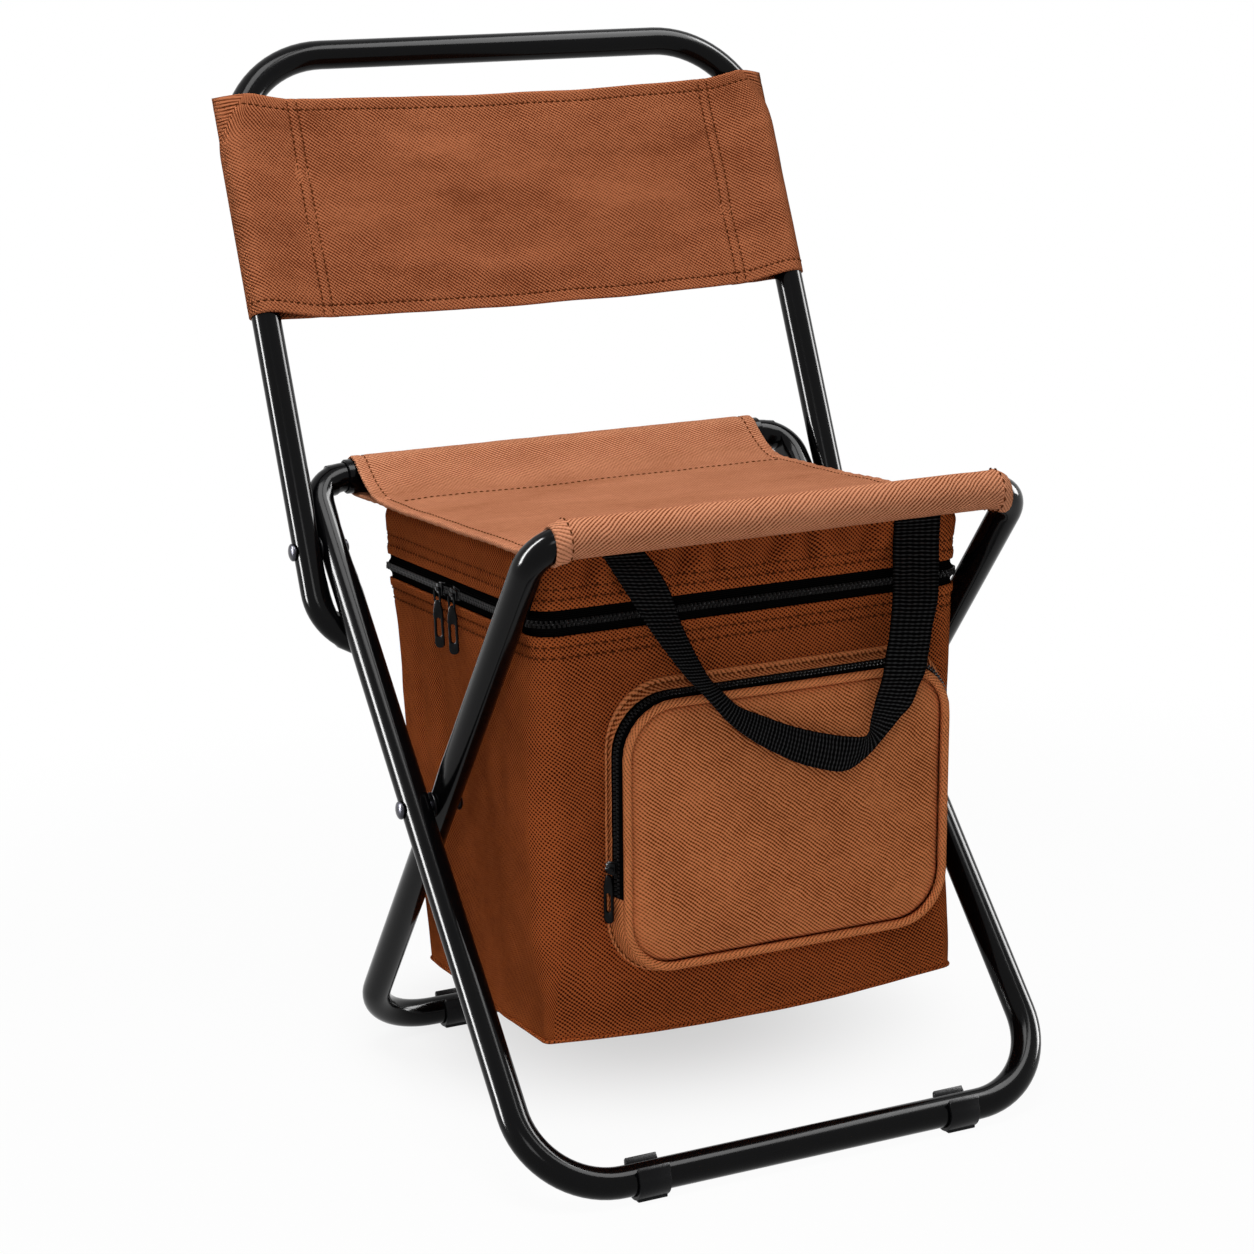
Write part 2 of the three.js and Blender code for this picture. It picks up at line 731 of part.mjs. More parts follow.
function bagPlan(z, inset, flareFront = 0, flareRear = 0) {
  const rise = Math.min(1, bagRise(z));
  const front = THREE.MathUtils.lerp(bagFrontLow, bagFrontHigh, rise) + inset - flareFront;
  const rear = THREE.MathUtils.lerp(bagRearLow, bagRearHigh, rise) - inset + flareRear;
  const half = bagSide(front) - inset;
  const rearHalf = bagSide(rear) - inset;
  const corners = [
    new THREE.Vector2(-half, front),
    new THREE.Vector2(half, front),
    new THREE.Vector2(rearHalf, rear),
    new THREE.Vector2(-rearHalf, rear),
  ];
  const radius = Math.max(bagCorner - inset, linerThickness);
  return roundedOutline(corners, radius).map((p) => new THREE.Vector3(p.x, p.y, z));
}

function bagTray(bottom, top, inset, wall) {
  return loftRings([
    bagPlan(bottom, inset + bagFloorBevel),
    bagPlan(bottom + bagFloorBevel, inset),
    bagPlan(top, inset),
    bagPlan(top, inset + wall),
    bagPlan(bottom + wall + bagFloorBevel, inset + wall),
    bagPlan(bottom + wall, inset + wall + bagFloorBevel),
  ], false);
}

function bagBand(low, high, inset, wall) {
  return loftRings([
    bagPlan(low, inset),
    bagPlan(high, inset),
    bagPlan(high, inset + wall),
    bagPlan(low, inset + wall),
  ], true);
}

const foamInset = clothThickness + seatGap;
const linerInset = foamInset + foamThickness + seatGap;

function buildBagBody() {
  const rim = zipLow - seatGap;
  addPiece('bag_shell', 'cloth', bagTray(bagBottom, rim, 0, clothThickness));
  addPiece('insulation_foam', 'foam', bagTray(bagBottom + foamInset, rim, foamInset, foamThickness));
  addPiece('foil_liner', 'liner', bagTray(bagBottom + linerInset, rim, linerInset, linerThickness));
  addPiece('zip_tape_lower', 'zip', bagBand(zipLow, zipLow + zipTape, -seatGap, zipThickness));
}

function buildLid() {
  const low = zipHigh + seatGap;
  const crown = lidTop - clothThickness;
  addPiece('zip_tape_upper', 'zip', bagBand(zipHigh - zipTape, zipHigh, -seatGap, zipThickness));
  addPiece('lid_band', 'cloth', loftRings([
    bagPlan(lidTop, 0, lidFlareFront, lidFlareRear),
    bagPlan(low, 0),
    bagPlan(low, clothThickness),
    bagPlan(crown, clothThickness, lidFlareFront, lidFlareRear),
  ], false));
  const foamTop = crown - seatGap;
  const foamLow = foamTop - lidFoamThickness;
  addPiece('lid_foam', 'foam', loftRings([
    bagPlan(foamTop, foamInset + seatGap),
    bagPlan(foamLow, foamInset + seatGap),
  ], false));
  addPiece('lid_liner', 'liner', loftRings([
    bagPlan(foamLow - seatGap, foamInset + seatGap),
    bagPlan(foamLow - seatGap - linerThickness, foamInset + seatGap),
  ], false));
}

// The pocket is drawn on the sloping front panel: across, up the panel, and out from it.
const panelUp = new THREE.Vector3(0, -Math.sin(panelSlope), Math.cos(panelSlope));
const panelOut = new THREE.Vector3(0, -Math.cos(panelSlope), -Math.sin(panelSlope));

function onPanel(across, up, out) {
  const foot = new THREE.Vector3(pocketCentre + across, bagFrontLow, bagBottom);
  return along(along(foot, panelUp, up), panelOut, out);
}

function pocketOutline(inset, out) {
  const half = pocketHalfWidth - inset;
  const low = pocketLow + inset;
  const high = pocketLow + pocketHeight - inset;
  const corners = [
    new THREE.Vector2(-half, low),
    new THREE.Vector2(half, low),
    new THREE.Vector2(half, high),
    new THREE.Vector2(-half, high),
  ];
  return roundedOutline(corners, pocketCorner - inset).map((p) => onPanel(p.x, p.y, out));
}

function pocketBand(from, to, flare) {
  return loftRings([
    pocketOutline(-flare, from),
    pocketOutline(0, to),
    pocketOutline(pocketCloth, to),
    pocketOutline(pocketCloth - flare, from),
  ], true);
}

const tapeStart = pocketGusset + seatGap;
const flapStart = tapeStart + pocketTape + seatGap;

function buildPocket() {
  addPiece('pocket_gusset', 'cloth', pocketBand(seatGap, pocketGusset, pocketFlare));
  addPiece('pocket_zip_tape', 'zip', pocketBand(tapeStart, tapeStart + pocketTape, 0));
  addPiece('pocket_panel', 'cloth', loftRings([
    pocketOutline(0, pocketDepth),
    pocketOutline(0, flapStart),
    pocketOutline(pocketCloth, flapStart),
    pocketOutline(pocketCloth, pocketDepth - pocketCloth),
  ], false));
  const pipingRings = Array.from({ length: pipingSides }, (_, i) => {
    const angle = (2 * Math.PI * i) / pipingSides;
    const inset = -seatGap - pipingRadius + pipingRadius * Math.cos(angle);
    return pocketOutline(inset, pocketDepth - pipingRadius + pipingRadius * Math.sin(angle));
  });
  addPiece('pocket_piping', 'cloth', loftRings(pipingRings, true));
}

// Slider body with a rounded nose, and a pull with an eye at each end. Both are drawn lying on a side panel:
// shape x runs along the zip, shape y runs up, and the thickness goes outwards.
function sliderShape(length, width) {
  const shape = new THREE.Shape();
  const nose = width * 0.3;
  shape.moveTo(-length / 2, -width / 2);
  shape.lineTo(length / 2 - nose, -width / 2);
  shape.lineTo(length / 2, -width / 2 + nose);
  shape.lineTo(length / 2, width / 2 - nose);
  shape.lineTo(length / 2 - nose, width / 2);
  shape.lineTo(-length / 2, width / 2);
  return shape;
}

function pullShape() {
  const half = pullWidth / 2;
  const lower = -pullLength + half;
  const shape = new THREE.Shape();
  shape.absarc(0, -half, half, 0, Math.PI, false);
  shape.absarc(0, lower, half, Math.PI, 2 * Math.PI, false);
  for (const y of [-half, lower + half * 0.4]) {
    const eye = new THREE.Path();
    eye.absarc(0, y, pullEye, 0, 2 * Math.PI, true);
    shape.holes.push(eye);
  }
  return shape;
}

function buildZipper(word, shape, place, outward, upward) {
  const lengthwise = upward.clone().cross(outward);
  const basis = new THREE.Matrix4().makeBasis(lengthwise, upward, outward);
  const slider = new THREE.ExtrudeGeometry(shape, { depth: sliderThickness, bevelEnabled: false });
  const pull = new THREE.ExtrudeGeometry(pullShape(), {
    depth: pullThickness,
    bevelEnabled: false,
    curveSegments: 8,
  });
  const sliderPiece = addPiece(`${word}_slider`, 'steel', slider.applyMatrix4(basis));
  const pullPiece = addPiece(`${word}_pull`, 'plastic', pull.applyMatrix4(basis));
  sliderPiece.position.copy(place);
  pullPiece.position.copy(along(along(place, upward, -sliderWidth / 2 - seatGap), outward, seatGap));
}

function buildZippers() {
  const left = new THREE.Vector3(-1, 0, 0);
  const up = new THREE.Vector3(0, 0, 1);
  for (const [word, y] of Object.entries(mainSliderPlaces)) {
    const skin = bagSide(y - sliderLength / 2) + 2 * seatGap;
    const place = new THREE.Vector3(-skin, y, zipHeight);
    buildZipper(`main_zip_${word}`, sliderShape(sliderLength, sliderWidth), place, left, up);
  }
  const pocketSkin = pocketHalfWidth + pocketFlare + seatGap;
  const pocketPlace = onPanel(-pocketSkin, pocketSliderHeight, pocketGusset * 0.7);
  buildZipper('pocket_zip', sliderShape(pocketTape, sliderWidth), pocketPlace, left, panelUp);
}

// Strap of webbing: two legs from under the front of the lid, joined by a round foot.
function strapRoute() {
  const back = strapThickness / 2 + 2 * seatGap;
  const points = strapPath.map(([across, out, down]) => {
    const z = lidTop - down;
    const flare = lidFlareFront * THREE.MathUtils.clamp((z - zipHigh) / (lidTop - zipHigh), 0, 1);
    return new THREE.Vector3(across, bagFrontHigh - flare - back - out, z);
  });
  return new THREE.CatmullRomCurve3(points, false, 'centripetal');
}

function buildStrap() {
  const route = strapRoute();
  const rings = Array.from({ length: strapSteps + 1 }, (_, i) => {
    const point = route.getPointAt(i / strapSteps);
    const tangent = route.getTangentAt(i / strapSteps);
    const across = new THREE.Vector3(0, -1, 0).cross(tangent).normalize();
    const face = tangent.clone().cross(across).normalize();
    return [[-1, -1], [1, -1], [1, 1], [-1, 1]].map(([w, t]) => along(
      along(point, across, (w * strapWidth) / 2), face, (t * strapThickness) / 2));
  });
  addPiece('carry_strap', 'webbing', loftRings(rings, false));
}

buildOuterLegs();
buildInnerLegs();
buildBackrest();
buildRivets();
buildHookPlugs();
buildFeet();
buildSeatSling();
buildBackrestSling();
buildBagBody();
buildLid();
buildPocket();
buildZippers();
buildStrap();

// The origin lies on the floor, under the middle of the stool's outline.
stool.updateMatrixWorld(true);
const outline = new THREE.Box3().setFromObject(stool, true);
const middle = outline.getCenter(new THREE.Vector3());
stool.position.set(-middle.x, -middle.y, -outline.min.z);

export default stool;
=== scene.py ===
# Folding cooler stool: what the eye sees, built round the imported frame.
# Sizes in the code are millimetres; each finished mesh is scaled to metres.
import json
import math

import bmesh
import bpy
from mathutils import Matrix, Vector, noise


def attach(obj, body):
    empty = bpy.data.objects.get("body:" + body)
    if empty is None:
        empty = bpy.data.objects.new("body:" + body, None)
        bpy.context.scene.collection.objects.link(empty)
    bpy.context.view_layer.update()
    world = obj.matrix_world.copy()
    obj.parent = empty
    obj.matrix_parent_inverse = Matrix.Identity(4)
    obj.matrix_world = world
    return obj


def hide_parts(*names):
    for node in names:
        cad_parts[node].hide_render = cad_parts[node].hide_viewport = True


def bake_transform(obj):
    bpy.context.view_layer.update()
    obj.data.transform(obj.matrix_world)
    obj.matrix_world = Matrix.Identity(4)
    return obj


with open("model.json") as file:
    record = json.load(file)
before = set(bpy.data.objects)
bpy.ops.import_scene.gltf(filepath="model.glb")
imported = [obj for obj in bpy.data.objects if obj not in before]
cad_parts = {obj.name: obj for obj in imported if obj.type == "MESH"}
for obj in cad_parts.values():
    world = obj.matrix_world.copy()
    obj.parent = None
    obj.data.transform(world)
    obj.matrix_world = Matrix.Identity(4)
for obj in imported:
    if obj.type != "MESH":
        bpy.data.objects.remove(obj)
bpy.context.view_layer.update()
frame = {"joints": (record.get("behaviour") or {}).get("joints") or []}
mm = 0.001
joints = {joint["name"]: joint for joint in frame["joints"]}
bothSides = (("left", -1), ("right", 1))

# Camera at the photograph's viewing angle
view = {
    "place": (-0.6260, -1.36805, 0.5440),
    "right": (0.90699, -0.41872, -0.04521),
    "up": (0.12125, 0.15679, 0.98016),
    "focalPixels": 2833.8,
    "framePixels": 1254,
    "sensor": 36.0,
    "clip": 0.05,
}


def placeCamera(settings):
    camera = bpy.data.objects.new("camera", bpy.data.cameras.new("camera"))
    bpy.context.scene.collection.objects.link(camera)
    right = Vector(settings["right"]).normalized()
    back = right.cross(Vector(settings["up"])).normalized()
    upright = back.cross(right)
    turn = Matrix((right, upright, back)).transposed().to_4x4()
    camera.matrix_world = Matrix.Translation(settings["place"]) @ turn
    camera.data.sensor_width = settings["sensor"]
    camera.data.lens = settings["sensor"] * settings["focalPixels"] / settings["framePixels"]
    camera.data.clip_start = settings["clip"]
    bpy.context.scene.camera = camera


placeCamera(view)
bpy.context.scene.view_settings.view_transform = "Standard"


# Nodes and materials
def colour(code):
    parts = [int(code[i:i + 2], 16) / 255 for i in (1, 3, 5)]
    linear = [c / 12.92 if c <= 0.04045 else ((c + 0.055) / 1.055) ** 2.4 for c in parts]
    return (*linear, 1.0)


def fillSockets(tree, node, inputs):
    for socket, value in inputs.items():
        if isinstance(value, bpy.types.NodeSocket):
            tree.links.new(value, node.inputs[socket])
        else:
            node.inputs[socket].default_value = value


# A colour mix takes its two colours in sockets 6 and 7 and gives its result in 2
def addNode(tree, kind, inputs=None, output=0, **settings):
    node = tree.nodes.new(kind)
    for name, value in settings.items():
        setattr(node, name, value)
    fillSockets(tree, node, inputs or {})
    return node.outputs[output] if node.outputs else None


def newMaterial(name):
    material = bpy.data.materials.new(name)
    material.use_nodes = True
    tree = material.node_tree
    return material, tree, tree.nodes["Principled BSDF"]


waveTurn = 0.31416  # length of one band of Blender's wave texture at scale 1

# Ribs: the turn in degrees and the distortion of each set. Crest and bend: the ranges of weave and of fold
# that are spread over the whole shade. Hollow: how strongly folds get painted shade and ridges a painted
# highlight.
twill = {"ribPitch": 1.6, "ribDepth": 0.5, "relief": 0.55, "blotch": 34.0, "speck": 4.2,
         "ribs": ((-52, 4.5), (38, 3.0)), "crest": (0.15, 0.75), "bend": (0.44, 0.56), "hollow": 0.4,
         "speckTone": (0.2, 0.8), "speckLift": 0.4}


# Polyester twill, dyed brown: fine slanting ribs crossed by a weaker set, soft blotches, no shine.
# The ribs are drawn about twice as coarse as real yarn so that they show; rib hollows are darker than crests.
# Folds, grooves and hems get painted shade and ridges and cut edges a painted highlight, from the mesh's
# curvature.
def twillCloth(name, dark, light, cross, stretch=1.0, contrast=0.6, blotchiness=0.55):
    material, tree, shader = newMaterial(name)
    flat = addNode(tree, "ShaderNodeUVMap", uv_map="flat")
    ribs = []
    for turn, distortion in twill["ribs"]:
        turned = addNode(tree, "ShaderNodeMapping", {"Vector": flat, "Rotation": (0, 0, math.radians(turn))})
        ribs.append(addNode(tree, "ShaderNodeTexWave", {
            "Vector": turned, "Scale": waveTurn / (twill["ribPitch"] * mm), "Distortion": distortion,
            "Detail": 1.0, "Detail Scale": 0.35}, "Fac"))
    crossed = addNode(tree, "ShaderNodeMix", {"Factor": cross, "A": ribs[0], "B": ribs[1]})
    weave = addNode(tree, "ShaderNodeMapRange", {
        "Value": crossed, "From Min": twill["crest"][0], "From Max": twill["crest"][1]})
    drawn = addNode(tree, "ShaderNodeMapping", {"Vector": flat, "Scale": (stretch, 1, 1)})
    patches = addNode(tree, "ShaderNodeTexNoise", {
        "Vector": drawn, "Scale": 1 / (twill["blotch"] * mm), "Detail": 5.0, "Roughness": 0.62})
    specks = addNode(tree, "ShaderNodeTexNoise", {
        "Vector": flat, "Scale": 1 / (twill["speck"] * mm), "Detail": 3.0, "Roughness": 0.7})
    # Painted shade in folds, grooves and hems and painted highlight on ridges and cut edges, from the
    # curvature
    bend = addNode(tree, "ShaderNodeNewGeometry", output="Pointiness")
    shade = 0.0
    for value, source, low, high in (
            (weave, (0, 1), -contrast, contrast), (patches, (0, 1), -blotchiness, blotchiness),
            (bend, twill["bend"], -twill["hollow"], twill["hollow"]), (specks, (0, 1), *twill["speckTone"])):
        part = addNode(tree, "ShaderNodeMapRange", {
            "Value": value, "From Min": source[0], "From Max": source[1], "To Min": low, "To Max": high})
        shade = addNode(tree, "ShaderNodeMath", {0: shade, 1: part}, operation="ADD")
    tint = addNode(tree, "ShaderNodeMix", {6: colour(dark), 7: colour(light), 0: shade}, 2, data_type="RGBA")
    pile = addNode(tree, "ShaderNodeMapRange", {"Value": specks, "To Max": twill["speckLift"]})
    height = addNode(tree, "ShaderNodeMath", {0: weave, 1: pile}, operation="ADD")
    relief = addNode(tree, "ShaderNodeBump", {
        "Height": height, "Strength": twill["relief"], "Distance": twill["ribDepth"] * mm})
    fillSockets(tree, shader, {
        "Base Color": tint, "Normal": relief, "Roughness": 0.9, "Specular IOR Level": 0.0})
    return material


# Powder-coated steel tube: black, nearly smooth, with a faint orange peel that softens each reflection.
def powderCoat(name, tone, peel=2.2, peelDepth=0.03, scuff=26.0):
    material, tree, shader = newMaterial(name)
    place = addNode(tree, "ShaderNodeTexCoord", output="Object")
    dimples = addNode(tree, "ShaderNodeTexNoise", {"Vector": place, "Scale": 1 / (peel * mm), "Detail": 2.0})
    scuffs = addNode(tree, "ShaderNodeTexNoise", {"Vector": place, "Scale": 1 / (scuff * mm), "Detail": 6.0})
    dull = addNode(tree, "ShaderNodeMapRange", {"Value": scuffs, "To Min": 0.1, "To Max": 0.18})
    relief = addNode(tree, "ShaderNodeBump", {
        "Height": dimples, "Strength": 0.05, "Distance": peelDepth * mm})
    fillSockets(tree, shader, {
        "Base Color": colour(tone), "Roughness": dull, "Specular IOR Level": 0.09, "Normal": relief})
    return material


# Black plastic, nylon and enamel: a fine moulded or sprayed grain that spreads the light.
def grainedBlack(name, tone, grain=0.7, grainDepth=0.12, roughness=0.46, shine=0.1):
    material, tree, shader = newMaterial(name)
    place = addNode(tree, "ShaderNodeTexCoord", output="Object")
    pits = addNode(tree, "ShaderNodeTexNoise", {"Vector": place, "Scale": 1 / (grain * mm), "Detail": 3.0})
    dull = addNode(tree, "ShaderNodeMapRange", {
        "Value": pits, "To Min": roughness - 0.1, "To Max": roughness + 0.1})
    relief = addNode(tree, "ShaderNodeBump", {
        "Height": pits, "Strength": 0.25, "Distance": grainDepth * mm})
    fillSockets(tree, shader, {
        "Base Color": colour(tone), "Roughness": dull, "Specular IOR Level": shine, "Normal": relief})
    return material


# Black zinc on steel, for the rivets: dark metal, worn a little brighter in spots.
def darkSteel(name, dark, light, roughness, spot=3.5):
    material, tree, shader = newMaterial(name)
    place = addNode(tree, "ShaderNodeTexCoord", output="Object")
    wear = addNode(tree, "ShaderNodeTexNoise", {"Vector": place, "Scale": 1 / (spot * mm), "Detail": 5.0})
    tint = addNode(tree, "ShaderNodeMix", {6: colour(dark), 7: colour(light), 0: wear}, 2, data_type="RGBA")
    dull = addNode(tree, "ShaderNodeMapRange", {
        "Value": wear, "To Min": roughness - 0.08, "To Max": roughness + 0.12})
    fillSockets(tree, shader, {"Base Color": tint, "Metallic": 1.0, "Roughness": dull})
    return material


# Black polypropylene webbing and zip tape: cross ribs with lanes along them, the crests a little lighter:
# painted highlight.
def wovenBlack(name, tone, light, ribPitch, lanePitch, ribDepth=0.35):
    material, tree, shader = newMaterial(name)
    flat = addNode(tree, "ShaderNodeUVMap", uv_map="flat")
    rows, lanes = [addNode(tree, "ShaderNodeTexWave", {
        "Vector": flat, "Scale": waveTurn / (pitch * mm), "Distortion": distortion, "Detail": detail},
        "Fac", bands_direction=direction) for pitch, distortion, detail, direction in (
            (ribPitch, 1.6, 2.0, "Y"), (lanePitch, 0.5, 1.0, "X"))]
    weave = addNode(tree, "ShaderNodeMix", {"Factor": 0.25, "A": rows, "B": lanes})
    # Rib crests lighter: painted highlight
    crest = addNode(tree, "ShaderNodeMapRange", {"Value": weave, "From Min": 0.5, "From Max": 0.9})
    tint = addNode(tree, "ShaderNodeMix", {6: colour(tone), 7: colour(light), 0: crest}, 2, data_type="RGBA")
    relief = addNode(tree, "ShaderNodeBump", {"Height": weave, "Strength": 0.8, "Distance": ribDepth * mm})
    fillSockets(tree, shader, {
        "Base Color": tint, "Normal": relief, "Roughness": 0.6, "Specular IOR Level": 0.0})
    return material


# Spun polyester thread: matt, twisted, a shade darker than the cloth it sinks into, partly its own tone and
# partly painted shade of the groove.
def sewingThread(name, dark, light, twist=1.1):
    material, tree, shader = newMaterial(name)
    place = addNode(tree, "ShaderNodeTexCoord", output="Object")
    strands = addNode(tree, "ShaderNodeTexNoise", {"Vector": place, "Scale": 1 / (twist * mm), "Detail": 2.0})
    tint = addNode(tree, "ShaderNodeMix", {
        6: colour(dark), 7: colour(light), 0: strands}, 2, data_type="RGBA")
    fillSockets(tree, shader, {"Base Color": tint, "Roughness": 0.8, "Specular IOR Level": 0.0})
    return material


# Aluminised film: bright and crinkled.
def crinkledFoil(name, tone, crease=16.0, creaseDepth=1.2):
    material, tree, shader = newMaterial(name)
    place = addNode(tree, "ShaderNodeTexCoord", output="Object")
    creases = addNode(tree, "ShaderNodeTexVoronoi", {
        "Vector": place, "Scale": 1 / (crease * mm)}, feature="F1")
    relief = addNode(tree, "ShaderNodeBump", {
        "Height": creases, "Strength": 0.5, "Distance": creaseDepth * mm})
    fillSockets(tree, shader, {
        "Base Color": colour(tone), "Metallic": 0.85, "Roughness": 0.3, "Normal": relief})
    return material


# Closed-cell polyethylene foam: white, with small cells.
def cellFoam(name, wall, hollow, cell=1.8, cellDepth=0.4):
    material, tree, shader = newMaterial(name)
    place = addNode(tree, "ShaderNodeTexCoord", output="Object")
    cells = addNode(tree, "ShaderNodeTexVoronoi", {
        "Vector": place, "Scale": 1 / (cell * mm)}, feature="F1")
    tint = addNode(tree, "ShaderNodeMix", {
        6: colour(wall), 7: colour(hollow), 0: cells}, 2, data_type="RGBA")
    relief = addNode(tree, "ShaderNodeBump", {
        "Height": cells, "Strength": 0.4, "Distance": cellDepth * mm})
    fillSockets(tree, shader, {"Base Color": tint, "Roughness": 0.9, "Normal": relief})
    return material


# Lit and shaded copies of one twill, painted light: the seat paler where lit from above, the backrest deeper,
# the bag darker for the shade under the seat, the pocket lighter
backTwill = twillCloth("brown polyester twill, backrest", "#5f2c16", "#b66f4b", 0.3, stretch=0.4,
                       blotchiness=0.9)
seatTwill = twillCloth("brown polyester twill, seat", "#7c4225", "#d8936f", 0.22, stretch=0.5)
bagTwill = twillCloth("brown polyester twill, bag", "#2f1306", "#b96032", 0.44, contrast=0.95)
pocketTwill = twillCloth("brown polyester twill, pocket", "#6f3517", "#e58d59", 0.3)
tubeBlack = powderCoat("black powder-coated steel", "#050506")
clipPlastic = grainedBlack("black moulded plastic", "#09090b", roughness=0.36)
rivetSteel = darkSteel("black zinc steel", "#1c1c20", "#4a4a50", 0.3)
sliderEnamel = grainedBlack("black enamelled zinc", "#060607", grain=1.6, roughness=0.2, shine=0.07)
strapWebbing = wovenBlack("black polypropylene webbing", "#060606", "#343435", 2.0, 3.4)
tapeCloth = wovenBlack("black woven zip tape", "#040404", "#141313", 0.9, 0.9)
# The coil is toned dark grey, lighter than its black tape: painted highlight for the glints on the teeth
coilNylon = grainedBlack("black nylon coil", "#222121", grain=0.9, roughness=0.34, shine=0.03)
brownThread = sewingThread("brown polyester thread", "#46240f", "#6e3c20")
foilFilm = crinkledFoil("aluminised film", "#c4c7cb")
foamWhite = cellFoam("white polyethylene foam", "#f0eee8", "#d8d5cc")
print("materials:", len(bpy.data.materials))


# Small tools shared by the pieces
def mix(a, b, share):
    return a + (b - a) * share


def ease(share):
    share = min(1.0, max(0.0, share))
    return share * share * (3 - 2 * share)


def ridge(value, centre, width):
    return math.exp(-((value - centre) / width) ** 2)


def ripple(x, y, size, depth, seed):
    return depth * noise.noise(Vector((x / size, y / size, seed)))


def valueAt(values, index):
    low = max(0, min(int(index), len(values) - 2))
    return mix(values[low], values[low + 1], index - low)


def spread(low, high, count):
    return [mix(low, high, i / count) for i in range(count + 1)]


def runLengths(points):
    lengths = [0.0]
    for a, b in zip(points, points[1:]):
        lengths.append(lengths[-1] + (b - a).length)
    return lengths


# Where each distance falls on a line: the point before it and the share of the way to the next
def walk(points, distances):
    lengths, at = runLengths(points), 0
    for target in distances:
        while at < len(lengths) - 2 and lengths[at + 1] < target:
            at += 1
        yield at, (target - lengths[at]) / max(1e-9, lengths[at + 1] - lengths[at])


def evenly(points, step):
    length = runLengths(points)[-1]
    stops = spread(0, length, max(1, round(length / step)))
    return [mix(points[at], points[at + 1], share) for at, share in walk(points, stops)], length


def makePiece(name, bm, material, body=None, stands=(), wall=0.0, wallSide=-1.0, sharp=None):
    bmesh.ops.scale(bm, vec=(mm, mm, mm), verts=bm.verts)
    mesh = bpy.data.meshes.new(name)
    bm.to_mesh(mesh)
    bm.free()
    mesh.polygons.foreach_set("use_smooth", [True] * len(mesh.polygons))
    if sharp:
        mesh.set_sharp_from_angle(angle=math.radians(sharp))
    piece = bpy.data.objects.new(name, mesh)
    bpy.context.scene.collection.objects.link(piece)
    mesh.materials.append(material)
    if wall:
        thicken = piece.modifiers.new("wall", "SOLIDIFY")
        thicken.thickness = wall * mm
        thicken.offset = wallSide
        piece.modifiers.new("flat edges", "WEIGHTED_NORMAL").weight = 100
    if body:
        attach(piece, body)
    if stands:
        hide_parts(*stands)
    return piece


def onlyVerts(geom):
    return [g for g in geom if isinstance(g, bmesh.types.BMVert)]


def onlyEdges(geom):
    return [g for g in geom if isinstance(g, bmesh.types.BMEdge)]


def sharpEdges(bm, degrees):
    return [e for e in bm.edges if e.is_manifold and e.calc_face_angle(0) > math.radians(degrees)]


def roundEdges(bm, edges, size):
    return bmesh.ops.bevel(bm, geom=edges, offset=size, offset_type="OFFSET", segments=2, profile=0.5,
                           affect="EDGES", material=-1, clamp_overlap=True)["faces"]


# A flat outline grows into a plate with eased rims
def growPlate(bm, faces, height, rim):
    grown = bmesh.ops.extrude_face_region(bm, geom=faces)["geom"]
    bmesh.ops.translate(bm, verts=onlyVerts(grown), vec=(0, 0, height))
    bmesh.ops.recalc_face_normals(bm, faces=bm.faces)
    roundEdges(bm, sharpEdges(bm, 60), rim)


# Cloth starts flat, as it was cut, and is then laid in its shape. The flat size stays in its UV map.
# A place on it is given by its column c and row r.
def flatCloth(columns, rows):
    bm = bmesh.new()
    bmesh.ops.create_grid(bm, x_segments=len(columns) - 1, y_segments=len(rows) - 1, size=1)
    bm.verts.ensure_lookup_table()
    flat = bm.loops.layers.uv.new("flat")
    for i, vert in enumerate(bm.verts):
        vert.co = (columns[i % len(columns)], rows[i // len(columns)], 0)
    for face in bm.faces:
        for loop in face.loops:
            loop[flat].uv = loop.vert.co.xy * mm
    return bm


def layCloth(columns, rows, place, close=False, turnOver=False):
    bm = flatCloth(columns, rows)
    for i, vert in enumerate(bm.verts):
        vert.co = place(i % len(columns), i // len(columns))
    if close:
        bmesh.ops.remove_doubles(bm, verts=bm.verts, dist=0.02)
    if turnOver:
        bmesh.ops.reverse_faces(bm, faces=bm.faces)
    return bm


# A panel that ends in a point at its middle is mapped flat again, and all its faces turned one way
def mapPanel(bm, facing, upward=Vector((0, 1, 0)), origin=Vector()):
    flat = bm.loops.layers.uv.active
    for face in bm.faces:
        for loop in face.loops:
            spot = loop.vert.co - origin
            loop[flat].uv = (spot.x * mm, spot.dot(upward) * mm)
    bmesh.ops.recalc_face_normals(bm, faces=bm.faces)
    bmesh.ops.reverse_faces(bm, faces=[f for f in bm.faces if f.normal.dot(facing) < 0])


# A row of stitches: short threads sunk in the cloth, one icosphere each.
stitch = {"steps": 60, "probe": 0.25}


def sewRow(bm, place, start, finish, pitch=3.6, length=2.6, thick=0.5, lift=0.15, turnOver=False):
    steps, probe = stitch["steps"], stitch["probe"]
    track = [place(mix(start[0], finish[0], share), mix(start[1], finish[1], share))
             for share in spread(0, 1, steps)]
    whole = runLengths(track)[-1]
    count = max(1, int(whole / pitch))
    for at, rest in walk(track, [(k + 0.5) * whole / count for k in range(count)]):
        share = (at + rest) / steps
        c, r = mix(start[0], finish[0], share), mix(start[1], finish[1], share)
        point = place(c, r)
        normal = (place(c + probe, r) - point).cross(place(c, r + probe) - point).normalized()
        normal = -normal if turnOver else normal
        run = (track[at + 1] - track[at]).normalized()
        side = normal.cross(run).normalized()
        turn = Matrix((run, side, run.cross(side))).transposed().to_4x4()
        size = Matrix.Diagonal((length / 2, thick, thick, 1))
        bmesh.ops.create_icosphere(bm, subdivisions=1, radius=1,
                                   matrix=Matrix.Translation(point + normal * lift) @ turn @ size)


